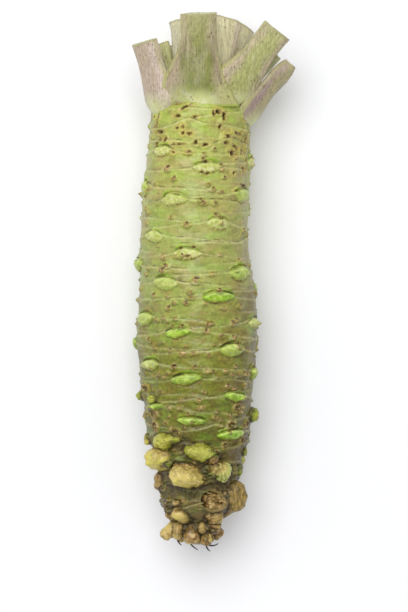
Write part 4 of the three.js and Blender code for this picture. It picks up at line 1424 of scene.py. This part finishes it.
def surface_net(field, low, step):
    """The surface where a field on a lattice is zero: one vertex in each cell that it crosses."""
    negative = field < 0
    shape = tuple(n - 1 for n in field.shape)
    corners = [(i, j, k) for i in (0, 1) for j in (0, 1) for k in (0, 1)]

    def at_corner(values, corner):
        return values[tuple(slice(c, c + n) for c, n in zip(corner, shape))]

    count_inside = sum(at_corner(negative, c).astype(np.int8) for c in corners)
    cells = np.argwhere((count_inside > 0) & (count_inside < 8))
    values = {c: field[tuple((cells + c).T)] for c in corners}
    total = np.zeros((len(cells), 3))
    crossings = np.zeros(len(cells))
    for a in corners:
        for axis in range(3):
            if a[axis]:
                continue
            b = tuple(1 if i == axis else v for i, v in enumerate(a))
            crosses = (values[a] < 0) != (values[b] < 0)
            gap = np.where(crosses, values[a] - values[b], 1)
            t = np.where(crosses, values[a] / gap, 0)
            point = np.array(a, float) + t[:, None] * (np.array(b) - np.array(a))
            total += crosses[:, None] * point
            crossings += crosses
    vertices = np.array(low) + (cells + total / crossings[:, None]) * step
    index = np.full(shape, -1)
    index[tuple(cells.T)] = np.arange(len(cells))
    faces = []
    for axis in range(3):
        one, two = (axis + 1) % 3, (axis + 2) % 3
        here = [slice(1, -1)] * 3
        here[axis] = slice(0, -1)
        after = list(here)
        after[axis] = slice(1, None)
        first, second = negative[tuple(here)], negative[tuple(after)]
        edges = np.argwhere(first != second)
        outward = first[tuple(edges.T)]
        edges[:, one] += 1
        edges[:, two] += 1
        quad = []
        for d_one, d_two in ((-1, -1), (0, -1), (0, 0), (-1, 0)):
            cell = edges.copy()
            cell[:, one] += d_one
            cell[:, two] += d_two
            quad.append(index[tuple(cell.T)])
        quad = np.stack(quad, 1)
        faces.append(np.where(outward[:, None], quad, quad[:, ::-1]))
    return vertices, np.vstack(faces)


def root_end_mesh(skin, lumps):
    """The root end's vertices, moved onto the surface itself, with its faces and normals."""
    axes = [np.arange(low, high, NET_STEP) for low, high in zip(NET_LOW, NET_HIGH)]
    places = np.stack(np.meshgrid(*axes, indexing="ij"), -1)
    field = root_end_distance(places.reshape(-1, 3), skin, lumps)
    vertices, faces = surface_net(field.reshape(places.shape[:3]), NET_LOW, NET_STEP)

    def distance(points):
        return root_end_distance(points, skin, lumps)

    def slope(points, step=0.12):
        moves = np.eye(3) * step
        sides = [distance(points + move) - distance(points - move) for move in moves]
        return np.stack(sides, 1) / (2 * step)

    for _ in range(2):
        gradient = slope(vertices)
        steepness = np.maximum((gradient**2).sum(1), 0.3)
        move = (distance(vertices) / steepness)[:, None] * gradient
        vertices = vertices - np.clip(move, -0.2, 0.2)
    keep_above_floor(vertices)
    return vertices, faces, unit(slope(vertices))


def root_end_masks(skin, lumps, vertices, normals):
    """The skin's masks between the lumps, and the masks of the lumps and the hollow.
    Shade is painted in the gaps, in the hollow and under the lumps, and highlights where they stand
    out.
    """
    info = {}
    root_end_distance(vertices, skin, lumps, info)
    on_knob, ripe, core, at, y = (info[name] for name in ("owner", "ripe", "core", "at", "y"))
    masks = {name: skin.at(table, at, y) * (1 - on_knob) for name, table in skin.mask.items()}

    def paint(name, amount):
        masks[name] = np.maximum(masks.get(name, 0), amount)

    fine = noise(vertices, 1.5, SEED + 16, 2)
    # painted shade in the crevices where lumps meet, darker on faces turned toward the root end,
    # away from the lamp
    paint("crease_and_shade", bell(info["gap"], 0.6) * (0.45 + 0.55 * smoothstep(-normals[:, 1], -0.2, 0.6)))
    # painted shade inside the hollow
    paint("crease_and_shade", 0.45 * info["hollow"])
    # painted shadow on the skin under the lumps
    paint("crease_and_shade", 0.75 * info["under"])
    crownward = smoothstep(info["high"] + 0.4 * fine, -0.1, 0.7)
    tone = smoothstep(ripe, 0.3, 1) * (1 - smoothstep(ripe, 1.1, 1.3))
    paint("rough", 0.85 * crownward * tone * on_knob)
    broken = smoothstep(ripe, 1.1, 1.3) * (1 - smoothstep(ripe, 1.55, 1.75))
    patchy = smoothstep(noise(vertices, 2.4, SEED + 17, 2), -0.3, 0.4)
    paint("rough", 0.8 * broken * patchy * on_knob)
    paint("rough", 0.8 * info["torn"])
    paint("rough", core)
    paint("knob", on_knob)
    paint("knob", core)
    paint("knob", 0.6 * info["rim"])
    # painted shade where a lump meets the body, and on the deep side of the hollow's core
    paint("painted_shade", 0.8 * on_knob * (1 - smoothstep(info["above"] + 0.4 * fine, 0.1, 1.5)))
    paint("painted_shade", 0.15 * core * info["deep"])
    # painted highlight on the raised parts of the knobs
    raised = smoothstep(info["above"] + 0.5 * fine, 1.2, 3.6)
    paint("painted_highlight", raised * on_knob * (1 - smoothstep(ripe, 1.1, 1.7)))
    # the torn core's paler tissue, with painted light on the side away from its painted shade
    paint("painted_highlight", 0.4 * core * (1 - info["deep"]))
    masks["woody"] *= 1 - core
    masks.update(fan=info["fan"], ribs=info["ribs"], along=y / SHOULDER_Y)
    masks = {name: np.clip(values, 0, 1) for name, values in masks.items()}
    masks["ripe"] = np.where(core > 0.5, CORE_RIPE, np.where(on_knob > 0.5, ripe, RIM_RIPE))
    return masks


def make_root_end(skin, material):
    lumps = make_lumps()
    vertices, faces, normals = root_end_mesh(skin, lumps)
    add_piece(
        "rhizome_root_end", vertices, [faces], root_end_masks(skin, lumps, vertices, normals),
        material, "rhizome_skin", "rhizome", normals=normals,
    )


# ---- Leaf stalks ----

STALK_ROWS = 116
STALK_BACK_POINTS = 56
STALK_INNER_POINTS = 32
CAP_SHARES = np.arange(1, 8) / 8  # how far in from the rim the cut face's rings are
BEND_HEIGHT = 0.4  # the share of its height by which a stalk has come out by its spread
ROUNDED = 0.3  # the share of its length over which a stalk's base rounds off
BASE_NARROWING = 0.88  # how much of a stalk's width, squared, is gone at the very base
BASE_FLATTENING = 0.4  # how much of its back's bulge, squared, is gone there
BLUNT_FROM = 0.76  # the share of its length from where a blunt stalk's tip rounds off
FLARE_END = 0.75  # the share of its length up to where a flared stalk's wing runs
FLARE_CURVE = 1.5  # how hollow the edge of that wing is
FULLNESS = 0.9  # how full the curve of the back is: 1 is an ellipse, and 0 a box
EDGE = 0.88  # how far to the side the groove along each thin edge is, as a share of the width
RIB_WAVES = 26  # how far the ribs' sine runs from the middle of the back to an edge, in radians


def stalk_frame(stalk, along):
    """The middle of a stalk at each share of its length, and three directions there."""
    start = around(stalk["at"], *stalk["root"])
    cut = np.array(stalk["end"], float)
    bend = lerp(start, cut, stalk["spread"])
    bend[1] = lerp(start[1], cut[1], BEND_HEIGHT)
    tangent = unit(lerp(bend - start, cut - bend, along))
    outward = outward_at(lerp(stalk["at"], stalk["facing"], along[:, 0]))
    outward = unit(outward - tangent * (outward * tangent).sum(1, keepdims=True))
    return bent(start, bend, cut, along), outward, np.cross(outward, tangent), tangent


class Stalk:
    """A leaf stalk's surface: a row along its length, a column round its section."""

    def __init__(self, stalk, seed):
        self.numbers = stalk
        self.along = np.linspace(0, 1, STALK_ROWS)[:, None] ** 1.25
        back_angle = np.linspace(0, np.pi, STALK_BACK_POINTS, endpoint=False)
        inner_angle = np.linspace(np.pi, 2 * np.pi, STALK_INNER_POINTS, endpoint=False)
        self.angle = np.concatenate([back_angle, inner_angle])
        self.on_back = self.angle < np.pi
        self.u = np.cos(self.angle)
        self.narrowed = smoothstep(self.along, *stalk["taper"])
        self.vertices, self.tangent, self.lumps = self.surface(seed)
        self.height = self.vertices[..., 1] - self.vertices[0, :, 1].min()

    def section(self):
        """Half the width at each place, and how far the back or the inner face bulges."""
        stalk, u, along = self.numbers, self.u, self.along
        rim = np.abs(np.sin(self.angle))
        sizes = zip(stalk["base"], stalk["cut"])
        width, back, inner = (lerp(base, cut, self.narrowed) for base, cut in sizes)
        corner = np.clip(1 - along / ROUNDED, 0, 1) ** 2
        past = np.clip((along - BLUNT_FROM) / (1 - BLUNT_FROM), 0, 1)
        tip = stalk.get("blunt", 0) * past**2
        width = width * np.sqrt(1 - BASE_NARROWING * corner) * np.sqrt(1 - tip)
        fullness = FULLNESS
        if stalk.get("flared"):
            flare = np.clip(1 - along / FLARE_END, 0, 1) ** FLARE_CURVE
            width = np.where(u < 0, lerp(stalk["cut"][0], stalk["base"][0], flare), width)
            fullness = np.where(u < 0, FULLNESS - 0.5 * (1 - self.narrowed), FULLNESS)
        back = back * np.sqrt(1 - BASE_FLATTENING * corner)
        return width, np.where(self.on_back, back * rim**fullness, inner * rim)

    def surface(self, seed):
        """The vertices, the direction of the cut, and how lumpy the skin is at each vertex."""
        u, on_back = self.u, self.on_back
        middle, outward, sideways, tangent = stalk_frame(self.numbers, self.along)
        width, bulge = self.section()
        ones = np.ones_like(bulge)
        flat = np.stack([u * ones * 9, self.along * ones * 30, bulge + seed], -1)
        wavy = u * RIB_WAVES + 1.6 * noise(flat, (3, 12, 3), seed)
        lumps = noise(flat, (4, 9, 4), seed + 1) + 0.35 * noise(flat, (1.6, 3, 1.6), seed + 3)
        relief = 0.03 * np.sin(wavy) * np.where(on_back, 1, 0.5) + 0.16 * lumps
        groove = bell(np.abs(u) - EDGE, 0.025) * on_back
        relief = relief - 0.3 * groove * (1 - 0.6 * self.narrowed)
        wide = u * (width + 0.35 * lumps)
        out = bulge + np.where(on_back, relief, -relief)
        vertices = middle[:, None] + wide[..., None] * sideways[:, None]
        vertices = vertices + out[..., None] * outward[:, None]
        ragged = 0.1 * noise(flat[-1], 2, seed + 2) * smoothstep(self.along, 0.93, 1)
        vertices = vertices + ragged[..., None] * tangent[-1]
        keep_above_floor(vertices)
        return vertices, tangent[-1], lumps

    def mesh(self):
        """The points and faces, with the cut face, which sinks a little toward its middle."""
        rim_ring = self.vertices[-1]
        centre = rim_ring.mean(0)
        depth = 0.4 * self.tangent
        cap = [lerp(rim_ring, centre, k) - depth * np.sin(k * np.pi / 2) for k in CAP_SHARES]
        points = np.concatenate([self.vertices, cap]).reshape(-1, 3)
        points = np.vstack([points, self.vertices[0].mean(0), centre - depth])
        return points, tube_faces(STALK_ROWS + len(cap), len(self.angle))

    def mask(self, body, cap=0.0, ends=(0, 0)):
        """A mask's values over the stalk, over its cut face, and at its two ends' middles."""
        count = len(self.angle)
        body = np.broadcast_to(body, (STALK_ROWS, count)).ravel()
        cap = np.broadcast_to(cap, (len(CAP_SHARES), count)).ravel()
        return np.concatenate([body, cap, ends])

    def masks(self):
        stalk, along, height, lumps = self.numbers, self.along, self.height, self.lumps
        side = np.abs(self.u)
        dots = bell(CAP_SHARES[:, None] - 0.3, 0.1) * smoothstep(np.cos(self.angle * 12), 0.2, 0.8)
        wing = smoothstep(side, 0.86, 0.93) * self.on_back * (1 - 0.6 * self.narrowed)
        pale = 0.95 - 0.75 * side**1.5
        if stalk.get("flared"):
            low = 1 - smoothstep(height + lumps, 4, 9)
            green_side = smoothstep(-self.u, 0.3, 0.75) * low * self.on_back
            wing = np.maximum(wing, 0.85 * green_side)
            pale = pale * (1 - 0.7 * green_side)
        pale = pale * (1 - smoothstep(height, 2, stalk.get("pale", 7.5) + 1.5 * lumps))
        return {
            "flank": self.mask(side**1.4),
            "wing": self.mask(wing),
            "base": self.mask(pale),
            "rim": self.mask(0.9 * (1 - smoothstep(height, 0.4, 1.2))),
            "top": self.mask(stalk.get("faded", 0.5) * smoothstep(along, 0.55, 1)),
            "cut_end": self.mask(smoothstep(along, 0.97, 1)),
            "face": self.mask(0, 1, (0, 1)),
            "bundle": self.mask(0, dots),
        }


def make_stalk(name, numbers, seed):
    stalk = Stalk(numbers, seed)
    points, faces = stalk.mesh()
    material = stalk_material(name, numbers["middle"], numbers["side"])
    add_piece(name + "_skin", points, faces, stalk.masks(), material, "leaf_stalk", name)


# ---- Rootlets ----

ROOTLET_ROWS = 16
ROOTLET_SIDES = 8
ROOTLET_RADII = (0.3, 0.14)  # at its start and at its end


def make_rootlet(name, points, material):
    t = np.linspace(0, 1, ROOTLET_ROWS)[:, None]
    middle = bent(*np.array(points), t)
    tangent = unit(np.gradient(middle, axis=0))
    side = unit(np.cross(tangent, [0, 0, 1]))
    up = np.cross(side, tangent)
    angle = np.arange(ROOTLET_SIDES)[:, None] * 2 * np.pi / ROOTLET_SIDES
    ring = np.cos(angle) * side[:, None] + np.sin(angle) * up[:, None]
    vertices = middle[:, None] + lerp(*ROOTLET_RADII, t)[:, None] * ring
    vertices = np.vstack([vertices.reshape(-1, 3), middle[0], middle[-1]])
    faces = tube_faces(ROOTLET_ROWS, ROOTLET_SIDES)
    add_piece(name + "_fibre", vertices, faces, {}, material, "rootlet", name)


# ---- Stage, light and camera ----

VIEW_CENTRE = (-3.07, -7.75)  # the place in the frame at the middle of the picture
VIEW_HEIGHT = 204  # how much the picture shows from top to bottom, as far off as the axis
CAMERA_DISTANCE = 1000
SENSOR_SIZE = 36
WHITE = (1, 1, 1, 1)
WORLD_STRENGTH = 0.51
FLOOR_SIZE = 6  # metres, like the lamp's size and place
FLOOR_COLOUR = (0.906, 0.912, 0.938, 1)
FLOOR_GLOW = 0.09  # lifts the floor to the photo's white, for the camera only
LAMP_PLACE = (-0.2, 0.4, 1.17)
LAMP_SIZE = 1.1
LAMP_WATTS = 10.8


def make_floor():
    bpy.ops.mesh.primitive_plane_add(size=FLOOR_SIZE)
    floor = bpy.context.object
    floor.name = "floor"
    s = Shader("floor", roughness=0.9, specular=0)
    s.surface.inputs["Base Color"].default_value = FLOOR_COLOUR
    s.surface.inputs["Emission Color"].default_value = WHITE
    seen = s.node("LightPath").outputs["Is Camera Ray"]
    s.put(s.times(seen, FLOOR_GLOW), s.surface.inputs["Emission Strength"])
    floor.data.materials.append(s.material)


def make_light():
    world = bpy.data.worlds.new("studio")
    bpy.context.scene.world = world
    world.use_nodes = True
    background = world.node_tree.nodes["Background"]
    background.inputs["Color"].default_value = WHITE
    background.inputs["Strength"].default_value = WORLD_STRENGTH
    light = bpy.data.lights.new("softbox", "AREA")
    light.shape = "DISK"
    light.size = LAMP_SIZE
    light.energy = LAMP_WATTS
    lamp = add_to_scene("softbox", light)
    lamp.location = LAMP_PLACE
    lamp.rotation_euler = (-lamp.location).to_track_quat("-Z", "Y").to_euler()


def make_camera():
    """The camera looks straight down, as in the photo."""
    camera = bpy.data.cameras.new("camera")
    camera.sensor_width = SENSOR_SIZE
    camera.lens = SENSOR_SIZE * CAMERA_DISTANCE / VIEW_HEIGHT
    camera_object = add_to_scene("camera", camera)
    place = (*VIEW_CENTRE, CAMERA_DISTANCE + AXIS_HEIGHT)
    camera_object.location = [value * MM for value in place]
    bpy.context.scene.camera = camera_object
    bpy.context.scene.view_settings.view_transform = "Standard"


make_floor()
make_light()
make_camera()
rhizome_skin = make_skin()
skin_look = skin_material()
make_body(rhizome_skin, skin_look)
make_root_end(rhizome_skin, skin_look)
for index, (stalk_name, stalk) in enumerate(STALKS.items()):
    make_stalk(stalk_name, stalk, SEED + 100 + 7 * index)
fibre = rootlet_material()
for index, points in enumerate(ROOTLETS):
    make_rootlet(f"rootlet_{index + 1}", points, fibre)
